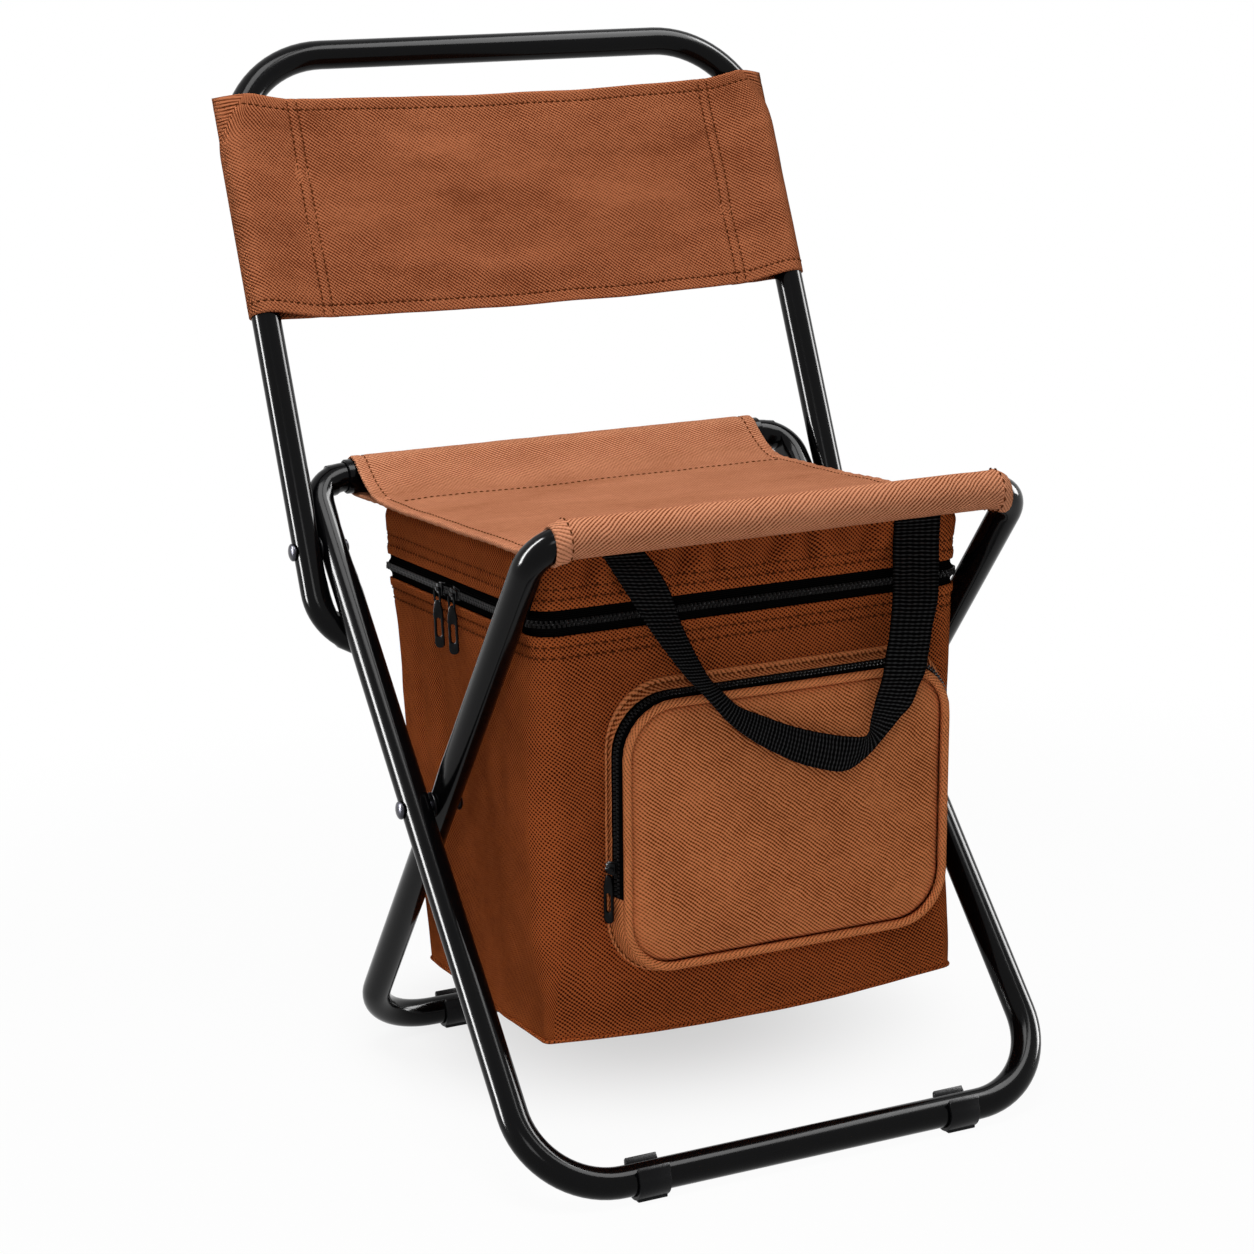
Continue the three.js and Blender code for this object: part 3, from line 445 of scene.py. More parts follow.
# Frame lines, from the joints' own places
frameSizes = {
    "tube": 8.0, "rail": 9.5, "outerHalf": 146.0, "innerHalf": 131.0, "backHalf": 161.0,
    "outerLean": 40.6, "innerLean": 42.8, "backLean": 20.5, "seatRail": 331.0, "floorBar": 10.3,
    "railPlug": 26.0, "railBend": 18.0, "frontRailBend": 20.0, "frontRailGap": 1.0,
    "frontFootBend": 45.0, "rearFootBend": 42.0, "backLength": 280.0, "backBend": 58.0,
    "hookStraight": 23.0, "hookBend": 30.0, "hookTurn": 56.0, "hookTail": 8.0,
    "sides": 32, "runStep": 8.0, "bendStep": 5.0, "pressDepth": 2.4, "pressFlat": 7.0, "pressFade": 44.0,
}
tubeRadius = frameSizes["tube"]
legPivot = Vector(joints["leg_fold"]["pos_m"]) / mm
backPivot = Vector(joints["backrest_fold"]["pos_m"]) / mm


def leaning(degrees):
    return Vector((0, math.sin(math.radians(degrees)), math.cos(math.radians(degrees))))


outerUp, innerUp = leaning(frameSizes["outerLean"]), leaning(-frameSizes["innerLean"])
backUp = leaning(frameSizes["backLean"])
backOut = Vector((0, -backUp.z, backUp.y))


def atHeight(direction, height):
    return legPivot + direction * ((height - legPivot.z) / direction.z)


def aside(point, x):
    return point + Vector((x, 0, 0))


rearRail, frontRail = atHeight(outerUp, frameSizes["seatRail"]), atHeight(innerUp, frameSizes["seatRail"])
frontBar, rearBar = atHeight(outerUp, frameSizes["floorBar"]), atHeight(innerUp, frameSizes["floorBar"])
backTop = backPivot + backUp * frameSizes["backLength"]


# A tube is drawn on like a bender makes it: a ring pushed along each straight run and spun round each bend.
def bentTube(corners, bends, radius, sides, runStep, bendStep):
    bm = bmesh.new()
    heading = (corners[1] - corners[0]).normalized()
    turn = heading.to_track_quat("Z", "Y").to_matrix().to_4x4()
    bmesh.ops.create_circle(bm, segments=sides, radius=radius, matrix=Matrix.Translation(corners[0]) @ turn)
    ring, place = bm.edges[:], corners[0]
    for i, corner in enumerate(corners[1:]):
        heading = (corner - corners[i]).normalized()
        end = corner
        if i < len(bends):
            onward = (corners[i + 2] - corner).normalized()
            half = (-heading).angle(onward) / 2
            end = corner - heading * (bends[i] / math.tan(half))
        steps = max(1, round((end - place).length / runStep))
        for _ in range(steps):
            grown = bmesh.ops.extrude_edge_only(bm, edges=ring)["geom"]
            ring = onlyEdges(grown)
            bmesh.ops.translate(bm, verts=onlyVerts(grown), vec=(end - place) / steps)
        if i < len(bends):
            centre = corner + (onward - heading).normalized() * (bends[i] / math.sin(half))
            axis, angle = heading.cross(onward), heading.angle(onward)
            steps = max(3, round(math.degrees(angle) / bendStep))
            spun = bmesh.ops.spin(bm, geom=ring, cent=centre, axis=axis, angle=angle, steps=steps)
            ring = onlyEdges(spun["geom_last"])
            place = corner + onward * (corner - end).length
    bmesh.ops.holes_fill(bm, edges=[e for e in bm.edges if e.is_boundary], sides=0)
    bmesh.ops.recalc_face_normals(bm, faces=bm.faces)
    return bm


# The press leaves an almond-shaped flat beside a rivet.
def pressFlat(bm, centre, direction, side):
    flat, faded = frameSizes["pressFlat"], frameSizes["pressFade"]
    for vert in bm.verts:
        offset = vert.co - centre
        run = offset.dot(direction)
        onSide = offset.x * side > 0 and abs(offset.x) <= 2 * tubeRadius
        onTube = offset.length <= 3 * faded and (offset - direction * run).length <= 1.5 * tubeRadius
        if onSide and onTube:
            depth = frameSizes["pressDepth"] * (1 - ease((abs(run) - flat) / (faded - flat)))
            vert.co.x = centre.x + side * min(offset.x * side, tubeRadius - depth)


def frameTube(corners, bends):
    return bentTube(corners, bends, tubeRadius, frameSizes["sides"], frameSizes["runStep"],
                    frameSizes["bendStep"])


def outerLegs():
    half, railBend, footBend = frameSizes["outerHalf"], frameSizes["railBend"], frameSizes["frontFootBend"]
    plug = half - railBend - frameSizes["railPlug"]  # where the tube ends inside the rear rail
    bm = frameTube([aside(rearRail, -plug), aside(rearRail, -half), aside(frontBar, -half),
                    aside(frontBar, half), aside(rearRail, half), aside(rearRail, plug)],
                   [railBend, footBend, footBend, railBend])
    for _, side in bothSides:
        pressFlat(bm, aside(backPivot, side * half), outerUp, -side)
    makePiece("outer_legs", bm, tubeBlack, "outer_leg_frame", ["outer_leg_tube"], sharp=50)


def innerLegs():
    half, gap = frameSizes["innerHalf"], frameSizes["frontRailGap"]
    railBend, footBend = frameSizes["frontRailBend"], frameSizes["rearFootBend"]
    bm = frameTube([aside(frontRail, -gap), aside(frontRail, -half), aside(rearBar, -half),
                    aside(rearBar, half), aside(frontRail, half), aside(frontRail, gap)],
                   [railBend, footBend, footBend, railBend])
    for _, side in bothSides:
        pressFlat(bm, aside(legPivot, side * half), innerUp, side)
    makePiece("inner_legs", bm, tubeBlack, "inner_leg_frame", ["inner_leg_tube", "front_rail_joiner"],
              sharp=50)


def backrestLoop():
    half, hookBend, backBend = frameSizes["backHalf"], frameSizes["hookBend"], frameSizes["backBend"]
    turn = math.radians(frameSizes["hookTurn"])
    curl = hookBend * math.tan(turn / 2)
    lows, tails = {}, {}
    for _, side in bothSides:
        heading = Vector((-side * math.sin(turn), 0, 0)) - backUp * math.cos(turn)
        lows[side] = aside(backPivot, side * half) - backUp * (frameSizes["hookStraight"] + curl)
        tails[side] = lows[side] + heading * (curl + frameSizes["hookTail"]), heading
    bm = frameTube([tails[-1][0], lows[-1], aside(backTop, -half),
                    aside(backTop, half), lows[1], tails[1][0]],
                   [hookBend, backBend, backBend, hookBend])
    for _, side in bothSides:
        pressFlat(bm, aside(backPivot, side * half), backUp, -side)
    makePiece("backrest_loop", bm, tubeBlack, "backrest", ["backrest_tube"], sharp=50)
    return tails


# The rear rail is a wider tube with rolled ends, open where the legs plug in.
railEnd = {"half": 127.7, "bore": 8.5, "roll": 0.5}


# A profile of radius and x, spun round the x axis
def turned(profile, steps):
    bm = bmesh.new()
    verts = [bm.verts.new((x, 0, radius)) for radius, x in profile]
    edges = [bm.edges.new(pair) for pair in zip(verts, verts[1:])]
    bmesh.ops.spin(bm, geom=verts + edges, cent=(0, 0, 0), axis=(1, 0, 0), angle=2 * math.pi, steps=steps,
                   use_merge=True)
    bmesh.ops.remove_doubles(bm, verts=bm.verts, dist=0.001)
    bmesh.ops.recalc_face_normals(bm, faces=bm.faces)
    return bm


def rearSeatRail():
    half, roll = railEnd["half"], railEnd["roll"]
    outer, bore = frameSizes["rail"], railEnd["bore"]
    profile = [(bore, -half), (outer - roll, -half), (outer, roll - half), (outer, half - roll),
               (outer - roll, half), (bore, half), (bore, -half)]
    bm = turned(profile, 32)
    bmesh.ops.translate(bm, verts=bm.verts, vec=rearRail)
    makePiece("rear_rail", bm, tubeBlack, "outer_leg_frame", ["rear_seat_rail"], sharp=40)


# Rivets have a domed head outside and a peened end inside; plain washers keep the tubes apart.
rivet = {"shank": 3.0, "head": 4.8, "dome": 2.4, "rim": 0.22, "peen": 4.4, "peenHeight": 1.8, "gap": 0.3}
washer = {"bore": 3.3, "outer": 7.0, "thick": 0.9, "edge": 0.2, "gap": 0.25}


def rivetPiece(name, pivot, side, inside, outside):
    head, dome, rim, peen = rivet["head"], rivet["dome"], rivet["rim"], rivet["peen"]
    low, high = inside - rivet["gap"], outside + rivet["gap"]
    profile = [(0, low - rivet["peenHeight"]), (peen * 0.6, low - rivet["peenHeight"]),
               (peen * 0.95, low - rivet["peenHeight"] * 0.55), (peen, low), (rivet["shank"], low),
               (rivet["shank"], high), (head, high), (head, high + dome * rim)]
    profile += [(head * math.cos(a), high + dome * (rim + (1 - rim) * math.sin(a)))
                for a in spread(0.2, math.pi / 2, 6)]
    profile[-1] = (0, high + dome)
    bm = turned(profile, 24)
    if side < 0:
        bmesh.ops.scale(bm, vec=(-1, 1, 1), verts=bm.verts)
        bmesh.ops.reverse_faces(bm, faces=bm.faces)
    bmesh.ops.translate(bm, verts=bm.verts, vec=(0, pivot.y, pivot.z))
    makePiece(name + "_head", bm, rivetSteel, "outer_leg_frame", [name], sharp=40)


def washerPiece(name, pivot, side, face):
    near, far = face + washer["gap"], face + washer["gap"] + washer["thick"]
    bore, outer, edge = washer["bore"], washer["outer"], washer["edge"]
    profile = [(bore, near), (outer - edge, near), (outer, near + edge), (outer, far - edge),
               (outer - edge, far), (bore, far), (bore, near)]
    bm = turned([(radius, side * x) for radius, x in profile], 24)
    bmesh.ops.translate(bm, verts=bm.verts, vec=(0, pivot.y, pivot.z))
    makePiece(name + "_ring", bm, clipPlastic, "outer_leg_frame", [name], sharp=40)


def pivots():
    press = frameSizes["pressDepth"]
    outer, inner, back = frameSizes["outerHalf"], frameSizes["innerHalf"], frameSizes["backHalf"]
    for word, side in bothSides:
        rivetPiece("leg_rivet_" + word, legPivot, side, inner - tubeRadius, outer + tubeRadius)
        rivetPiece("backrest_rivet_" + word, backPivot, side, outer - tubeRadius + press, back + tubeRadius)
        washerPiece("leg_washer_" + word, legPivot, side, inner + tubeRadius - press)
        washerPiece("backrest_washer_" + word, backPivot, side, outer + tubeRadius)


# Plug in a hook's end: a stem in the bore and a head whose edge is eased in steps of radius and height
endPlug = {"head": 8.0, "height": 2.0, "stem": 5.9, "depth": 7.0, "gap": 0.3,
           "edge": [(1.0, 0.9), (0.93, 1.5)], "flat": 0.75}


def endPlugs(tails):
    head, stem, gap = endPlug["head"], endPlug["stem"], endPlug["gap"]
    top = gap + endPlug["height"]
    profile = [(0, -endPlug["depth"]), (stem, -endPlug["depth"]), (stem, gap), (head, gap)]
    profile += [(head * share, gap + rise) for share, rise in endPlug["edge"]]
    profile += [(head * endPlug["flat"], top), (0, top)]
    for word, side in bothSides:
        place, heading = tails[side]
        bm = turned(profile, 28)
        turn = heading.to_track_quat("X", "Z").to_matrix().to_4x4()
        bmesh.ops.transform(bm, matrix=Matrix.Translation(place) @ turn, verts=bm.verts)
        makePiece("hook_plug_" + word, bm, clipPlastic, "backrest", ["backrest_end_plug_" + word],
                  sharp=40)


# Foot clips: a C of plastic snapped over the floor bar, thicker at its lips, with a flat sole.
foot = {"bore": 8.3, "wall": 2.0, "length": 17.0, "mouth": 84.0, "steps": 26, "lip": 1.5, "lipSpan": 16.0,
        "sole": (16.0, 11.0, 2.6), "edge": 0.45, "front": 88.0, "rear": 75.0}


def footClip(name, bar, x, body):
    bm = bmesh.new()
    bmesh.ops.create_cube(bm, size=1)
    inner, outer = foot["bore"], foot["bore"] + foot["wall"]
    bmesh.ops.scale(bm, vec=(foot["length"], foot["wall"], 0.01), verts=bm.verts)
    section = [f for f in bm.faces if f.normal.z > 0.5]
    bmesh.ops.delete(bm, geom=[f for f in bm.faces if f not in section], context="FACES")
    bmesh.ops.translate(bm, verts=bm.verts, vec=(0, (inner + outer) / 2, 0))
    start = math.radians(90 - foot["mouth"] / 2)
    sweep = math.radians(360 - foot["mouth"])
    bmesh.ops.rotate(bm, cent=(0, 0, 0), matrix=Matrix.Rotation(start, 3, "X"), verts=bm.verts)
    bmesh.ops.spin(bm, geom=bm.faces[:] + bm.edges[:] + bm.verts[:], cent=(0, 0, 0), axis=(-1, 0, 0),
                   angle=sweep, steps=foot["steps"])
    bmesh.ops.remove_doubles(bm, verts=bm.verts, dist=0.001)
    bmesh.ops.holes_fill(bm, edges=[e for e in bm.edges if e.is_boundary], sides=0)
    for vert in bm.verts:
        angle = math.degrees(math.atan2(vert.co.y, vert.co.z))
        radius = Vector((vert.co.y, vert.co.z)).length
        if abs(angle) < foot["mouth"] / 2 + foot["lipSpan"] and radius > inner + 0.5:
            vert.co.yz = vert.co.yz * ((radius + foot["lip"]) / radius)
    sole = bmesh.ops.create_cube(bm, size=1)["verts"]
    bmesh.ops.scale(bm, vec=foot["sole"], verts=sole)
    bmesh.ops.translate(bm, verts=sole, vec=(0, 0, foot["sole"][2] / 2 - frameSizes["floorBar"]))
    bmesh.ops.recalc_face_normals(bm, faces=bm.faces)
    roundEdges(bm, sharpEdges(bm, 40), foot["edge"])
    bmesh.ops.translate(bm, verts=bm.verts, vec=(x, bar.y, bar.z))
    makePiece(name + "_clip", bm, clipPlastic, body, [name], sharp=40)


outerLegs()
innerLegs()
hookTails = backrestLoop()
rearSeatRail()
pivots()
endPlugs(hookTails)
for word, side in bothSides:
    footClip("front_foot_" + word, frontBar, side * foot["front"], "outer_leg_frame")
    footClip("rear_foot_" + word, rearBar, side * foot["rear"], "inner_leg_frame")
print("frame pieces done")

# Seat: one cloth from the hem behind the front roll, round the front rail, level, then over the rear rail.
# Its side edges are turned under and sewn down. Waves: size, depth and seed of each.
seat = {"half": 123.0, "cloth": 1.2, "columns": 64, "rowStep": 3.2, "frontRoll": 9.1, "rearRoll": 10.6,
        "fall": 44.0, "flap": 42.0, "frontFlap": 24.0, "turn": 1.5, "groove": 0.5,
        "waves": [(62, 0.9, 3.1), (21, 0.3, 8.4)], "crease": (9, 0.16, 5.5), "sideDrop": 0.8, "pucker": 0.25,
        "hem": 6.4, "hemSteps": [0.5, 1.8, 3.6, 5.0, 5.9, 6.4, 6.9, 7.8, 9.4, 11.6, 14.4],
        "firstStitch": 4, "lastStitch": 14, "stitchRun": 5}


def seatLine():
    level = frontRail.z - seat["frontRoll"]
    front, rear = Vector((frontRail.y, frontRail.z)), Vector((rearRail.y, rearRail.z))
    points = [Vector((front.x + seat["frontFlap"], level + 1.6)), Vector((front.x + 13, level + 1.8))]
    for angle in spread(-38, 270, 60):
        a = math.radians(angle)
        points.append(front + Vector((math.cos(a), math.sin(a))) * seat["frontRoll"])
    top = rear + Vector((-0.6, 0.8)) * seat["rearRoll"]
    start = Vector((rear.x - seat["fall"], level))
    points += [mix(Vector((front.x, level)), start, k / 40) for k in range(1, 41)]
    points += [Vector((mix(start.x, top.x, share), level + (top.y - level) * share ** 2))
               for share in spread(0, 1, 24)[1:]]
    for angle in spread(126.9, -90, 40)[1:]:
        a = math.radians(angle)
        points.append(rear + Vector((math.cos(a), math.sin(a))) * seat["rearRoll"])
    points += [Vector((rear.x - seat["flap"] * k / 8, rear.y - seat["rearRoll"])) for k in range(1, 9)]
    return evenly(points, seat["rowStep"])


# The cloth hangs free between the rails, and is held on them
def seatSlack(y):
    return ease((y - frontRail.y - 12) / 30) * ease((rearRail.y - y - 8) / 30)


def makeSeat():
    line, length = seatLine()
    lengths = runLengths(line)
    bend = frameSizes["frontRailBend"]
    bendStart = frameSizes["innerHalf"] - bend
    half, hem, turn = seat["half"], seat["hem"], seat["turn"]
    under = [Vector((half - hem, turn)), Vector((half - hem / 2, turn)), Vector((half - 0.5, turn)),
             Vector((half, turn / 2))]
    across = [Vector((-p.x, p.y)) for p in under]
    sides = [half - step for step in seat["hemSteps"]]
    tops = [-x for x in sides] + spread(3 - sides[-1], sides[-1] - 3, seat["columns"]) + sides[::-1]
    across += [Vector((x, 0)) for x in tops] + under[::-1]
    columns = runLengths(across)
    columns = [u - columns[-1] / 2 for u in columns]

    def place(c, r):
        x, fold = valueAt(across, c)
        point = valueAt(line, r)
        run = (valueAt(line, min(len(line) - 1, r + 0.5)) - valueAt(line, max(0, r - 0.5))).normalized()
        normal = Vector((-run.y, run.x))
        edge = half - abs(x)
        onRoll = 1 - ease((point.x - frontRail.y - 10) / 12)
        over = max(0.0, abs(x) - bendStart)
        drop = onRoll * (bend - math.sqrt(max(0.0, bend * bend - over * over)))
        free = seatSlack(point.x)
        lift = free * sum(ripple(x, point.x, *wave) for wave in seat["waves"])
        lift -= free * seat["sideDrop"] * (1 - ease(edge / 26)) * ease((rearRail.y - 30 - point.x) / 60)
        lift += free * seat["pucker"] * math.sin(r * 1.9) * ridge(edge, 0, 5.0)
        lift -= seat["groove"] * ridge(edge, hem, 1.2) + fold * (0.35 + 0.65 * free)
        lift += ripple(x, r * 4.0, *seat["crease"])
        spot = point + normal * lift
        return Vector((x, spot.x - innerUp.y * drop, spot.y - innerUp.z * drop))

    bm = layCloth(columns, lengths, place)
    cloth = makePiece("seat_cloth", bm, seatTwill, stands=["seat_sling"], wall=seat["cloth"],
                      wallSide=0.0)
    threads = bmesh.new()
    last = len(line) - 1
    perMm = last / length
    sideColumn = len(under) + seat["hemSteps"].index(hem)
    rearSeam = last - (seat["flap"] * 2 + 4 + math.radians(217) * seat["rearRoll"] + 6) * perMm
    top = seat["cloth"] / 2 + 0.12
    sewn, run = last - seat["lastStitch"], seat["stitchRun"]
    for c in (sideColumn, len(across) - 1 - sideColumn):
        for start in range(seat["firstStitch"], sewn, run):
            finish = min(sewn, start + run)
            below = top + turn * (0.35 + 0.65 * seatSlack(valueAt(line, start + 2).x))
            sewRow(threads, place, (c, start), (c, finish), lift=top)
            sewRow(threads, place, (c, start), (c, finish), turnOver=True, lift=below)
    left, right = len(under) + 8, len(across) - len(under) - 9
    sewRow(threads, place, (left, rearSeam), (right, rearSeam), lift=top)
    sewRow(threads, place, (left, rearSeam), (right, rearSeam), turnOver=True, lift=top + 1.6)
    sewRow(threads, place, (left, 2), (right, 2), turnOver=True, lift=top)
    stitches = makePiece("seat_stitches", threads, brownThread)
    for piece in (cloth, stitches):
        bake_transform(piece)


makeSeat()
print("seat done")

# Backrest: a cloth with a sleeve over each upright; its lower and upper edges are hemmed.
# Waves: shares of the way across and up, then size, depth and seed of each.
back = {"low": 132.0, "high": 257.5, "seam": 131.0, "tuck": 121.0, "edge": 169.6, "front": 6.4, "sag": 4.2,
        "lap": 2.2, "hang": 4.6, "roll": 9.2, "cloth": 1.3, "rows": 34, "hem": 6.5, "stitch": (124.0, 129.5),
        "waves": [(1, 2.2, 52, 1.3, 1.7), (1, 1, 17, 0.35, 6.2), (0.3, 1, 15, 0.7, 12.3)],
        "seamSteps": [121.4, 122.6, 123.4, 124.0, 124.6, 125.4, 127.0, 128.2, 129.0, 129.5, 130.0, 131.0],
        "hemSteps": [0.0, 1.6, 3.4, 5.2, 6.0, 6.5, 7.0, 7.8, 9.4, 11.6]}
sheetSteps = spread(0, 119, 24) + back["seamSteps"]
sheetEnd = len(sheetSteps) - 1


# How far the upright has bent in at height t
def uprightInset(t):
    bend = frameSizes["backBend"]
    over = max(0.0, t - (frameSizes["backLength"] - bend))
    return bend - math.sqrt(max(0.0, bend * bend - over * over))


def sheetDepth(x):
    return back["front"] - back["sag"] * (1 - (x / back["seam"]) ** 2)


# The points between two others, without those two
def between(a, b, count):
    return [mix(a, b, k / count) for k in range(1, count)]


# Half of the cross line at height t: from the cloth's middle out to the tube, round it and back to the seam
def backrestLine(t):
    roll = back["roll"]
    tube = Vector((frameSizes["backHalf"] - uprightInset(t), 0))
    edge = Vector((back["edge"], 0))
    reach = (edge - tube).length
    wrap = math.acos(min(1.0, roll / reach)) if reach > roll else 0.05
    sheet = [Vector((x, sheetDepth(x))) for x in sheetSteps]
    front = [tube + Vector((math.cos(a), math.sin(a))) * roll for a in spread(math.pi / 2 + 0.05, wrap, 8)]
    rear = [Vector((p.x, -p.y)) for p in reversed(front)]
    seamBack = Vector((back["seam"], back["front"] - back["lap"]))
    tuck = Vector((back["tuck"], sheetDepth(back["tuck"]) - back["lap"]))
    line = sheet + between(sheet[-1], front[0], 5) + front
    line += between(front[-1], edge, 3) + [edge] + between(edge, rear[0], 3) + rear
    return line + between(rear[-1], seamBack, 5) + [seamBack] + between(seamBack, tuck, 2) + [tuck]


def makeBackrest():
    half = runLengths(backrestLine(back["low"]))
    columns = [-length for length in reversed(half)][:-1] + half
    middle = len(half) - 1
    low = [back["low"] + step for step in back["hemSteps"]]
    high = [back["high"] - step for step in reversed(back["hemSteps"])]
    rows = low + spread(low[-1] + 3, high[0] - 3, back["rows"]) + high
    lines = [backrestLine(t) for t in rows]

    def place(c, r):
        r = min(max(r, 0), len(rows) - 1)
        t = valueAt(rows, r)
        index = abs(c - middle)
        low = min(int(r), len(rows) - 2)
        spot = mix(valueAt(lines[low], index), valueAt(lines[low + 1], index), r - low)
        side = -1 if c < middle else 1
        x = side * spot.x
        loose = 1 - ease((abs(spot.x) - 126) / 38)
        onFront = 1 - ease((index - sheetEnd - 9) / 6)
        depth = sum(ripple(x * across, t * up, *wave) for across, up, *wave in back["waves"])
        depth += ridge(abs(spot.x), back["seam"] - 3, 14) * ripple(spot.x * 0.3, t, 10 + side, 0.9, 4.4)
        depth -= sum(0.5 * ridge(abs(spot.x), seam, 1.2) for seam in back["stitch"])
        depth *= onFront
        for edge in (t - back["low"], back["high"] - t):
            depth -= 0.3 * ridge(edge, back["hem"], 1.0)
        t -= loose * back["hang"] + 1.2 * max(0.0, 1 - (spot.x / back["seam"]) ** 2)
        t -= ripple(x, 0, 34, 0.45, 9.0)
        return aside(backPivot, x) + backUp * t + backOut * (spot.y + depth)

    bm = layCloth(columns, rows, place)
    cloth = makePiece("backrest_cloth", bm, backTwill, "backrest", ["backrest_sling"],
                      wall=back["cloth"])
    threads = bmesh.new()
    last = len(rows) - 1
    for x in back["stitch"]:
        index = sheetSteps.index(x)
        for c in (middle - index, middle + index):
            sewRow(threads, place, (c, 1), (c, last - 1))
            sewRow(threads, place, (c, 1), (c, last - 1), turnOver=True, lift=back["cloth"] + 1.7)
    hemRow, reach = back["hemSteps"].index(back["hem"]), sheetEnd + 15
    for r in (hemRow, last - hemRow):
        for start, finish in ((-reach, -sheetEnd), (-sheetEnd, 0), (0, sheetEnd), (sheetEnd, reach)):
            sewRow(threads, place, (middle + start, r), (middle + finish, r))
        sewRow(threads, place, (middle - sheetEnd + 8, r), (middle + sheetEnd - 8, r), turnOver=True,
               lift=back["cloth"] + 0.1)
    stitches = makePiece("backrest_stitches", threads, brownThread, "backrest")


makeBackrest()
print("backrest done")

# Bag: a tapered box of cloth over foam. Front and rear lean out towards the zip.
# Folds on its sides: place along the side, width, depth and lean. Waves: size, depth and seed.
bag = {"bottom": 69.0, "zip": 284.4, "rim": 277.9, "frontLow": -118.25, "frontHigh": -137.25,
       "rearLow": 48.75, "rearHigh": 78.75, "halfFront": 118.0, "halfRear": 115.0, "corner": 13.0,
       "rearCorner": 4.0, "floorCorner": 5.0, "cloth": 1.2, "rows": 44, "belly": 3.0, "sag": 5.0, "dent": 5.0,
       "held": 40.0, "floorSag": 4.0, "seams": (5.5, 11.0), "seamDepth": 0.55, "lip": 0.9, "welt": 1.0,
       "folds": [(0.14, 0.035, 1.3, 0.05), (0.3, 0.05, 1.8, -0.1), (0.62, 0.04, 1.2, 0.12),
                 (0.8, 0.05, 1.4, -0.06)],
       "waves": [(58, 1.7, 2.2), (19, 0.5, 7.7)]}
counts = {"rear": 12, "arc": 6, "side": 30, "front": 84}


# A closed line with rounded corners, begun and ended halfway along its last side
def roundedLoop(corners, radius, arcSteps, sideSteps):
    loop = []
    for i, corner in enumerate(corners):
        before, after = corners[i - 1], corners[(i + 1) % len(corners)]
        behind, ahead = (before - corner).normalized(), (after - corner).normalized()
        size = radius[i] if isinstance(radius, list) else radius
        half = behind.angle(ahead) / 2
        centre = corner + (behind + ahead).normalized() * (size / math.sin(half))
        start = corner + behind * (size / math.tan(half)) - centre
        sweep = math.pi - 2 * half
        turn = 1 if behind.x * ahead.y - behind.y * ahead.x < 0 else -1
        arc = [centre + Matrix.Rotation(turn * sweep * k / arcSteps, 2) @ start for k in range(arcSteps + 1)]
        if i == 0:
            first = (corners[-1] + corner) / 2
            loop += [mix(first, arc[0], k / sideSteps[-1]) for k in range(sideSteps[-1])]
        else:
            loop += between(loop[-1], arc[0], sideSteps[i - 1])
        loop += arc
    return loop + between(loop[-1], first, sideSteps[-1]) + [first]


def bagSide(y):
    share = (y - bag["frontHigh"]) / (bag["rearHigh"] - bag["frontHigh"])
    return mix(bag["halfFront"], bag["halfRear"], share)


def bagLoop(z, inset=0.0, flareFront=0.0, flareRear=0.0, radius=None):
    rise = min(1.0, (z - bag["bottom"]) / (bag["zip"] - bag["bottom"]))
    front = mix(bag["frontLow"], bag["frontHigh"], rise) + inset - flareFront
    rear = mix(bag["rearLow"], bag["rearHigh"], rise) - inset + flareRear
    corners = [Vector((-bagSide(rear) + inset, rear)), Vector((-bagSide(front) + inset, front)),
               Vector((bagSide(front) - inset, front)), Vector((bagSide(rear) - inset, rear))]
    if radius is None:
        radius = mix(bag["floorCorner"], bag["corner"], ease((z - bag["bottom"]) / 70))
    tight = min(radius, bag["rearCorner"])
    radii = [max(1.0, r - inset) for r in (tight, radius, radius, tight)]
    return roundedLoop(corners, radii, counts["arc"],
                       [counts["side"], counts["front"], counts["side"], counts["rear"]])


# Columns of the loop where each panel starts and ends
leftStart = counts["rear"] + counts["arc"]
leftEnd = leftStart + counts["side"]
frontStart = leftEnd + counts["arc"]
frontEnd = frontStart + counts["front"]
rightStart = frontEnd + counts["arc"]
loopEnd = rightStart + counts["side"] + counts["arc"] + counts["rear"]


def loopNormal(loop, c):
    ahead, behind = valueAt(loop, (c + 0.5) % (len(loop) - 1)), valueAt(loop, (c - 0.5) % (len(loop) - 1))
    run = (ahead - behind).normalized()
    return Vector((run.y, -run.x, 0))


# Ripples die out at the rear join, where a loop's first and last columns meet
def joinFade(c, end):
    return ease(min(c, end - c) / 5)


def bagPuff(c, z):
    share = (z - bag["bottom"]) / (bag["zip"] - bag["bottom"])
    swell = math.sin(math.pi * min(1.0, max(0.0, share))) ** 0.8
    puff = 0.0
    if frontStart <= c <= frontEnd:
        u = (c - frontStart) / counts["front"]
        bulge = 0.35 + 0.65 * math.sin(math.pi * min(1, share * 1.05))
        puff += bag["belly"] * math.sin(math.pi * u) * bulge
    left = (c - leftStart) / counts["side"]
    right = (c - rightStart) / counts["side"]
    if 0 <= left <= 1:
        puff -= bag["dent"] * ridge(left, 0.46 - 0.12 * share, 0.2) * swell
        puff += 1.5 * ridge(left, 0.86, 0.16) * swell
    if 0 <= right <= 1:
        puff -= 0.7 * bag["dent"] * ridge(right, 0.55 + 0.1 * share, 0.22) * swell
    for side in (left, 1 - right):
        for place, width, depth, lean in bag["folds"] if 0 <= side <= 1 else []:
            puff -= depth * ridge(side, place + lean * (share - 0.5), width) * ease((share - 0.25) / 0.4)
    return puff


bagHeights = spread(bag["bottom"], bag["rim"], bag["rows"])
bagLoops = [bagLoop(z) for z in bagHeights]
loopLengths = runLengths(bagLoop(bag["rim"]))


def bagRow(z):
    return bag["rows"] * (z - bag["bottom"]) / (bag["rim"] - bag["bottom"])


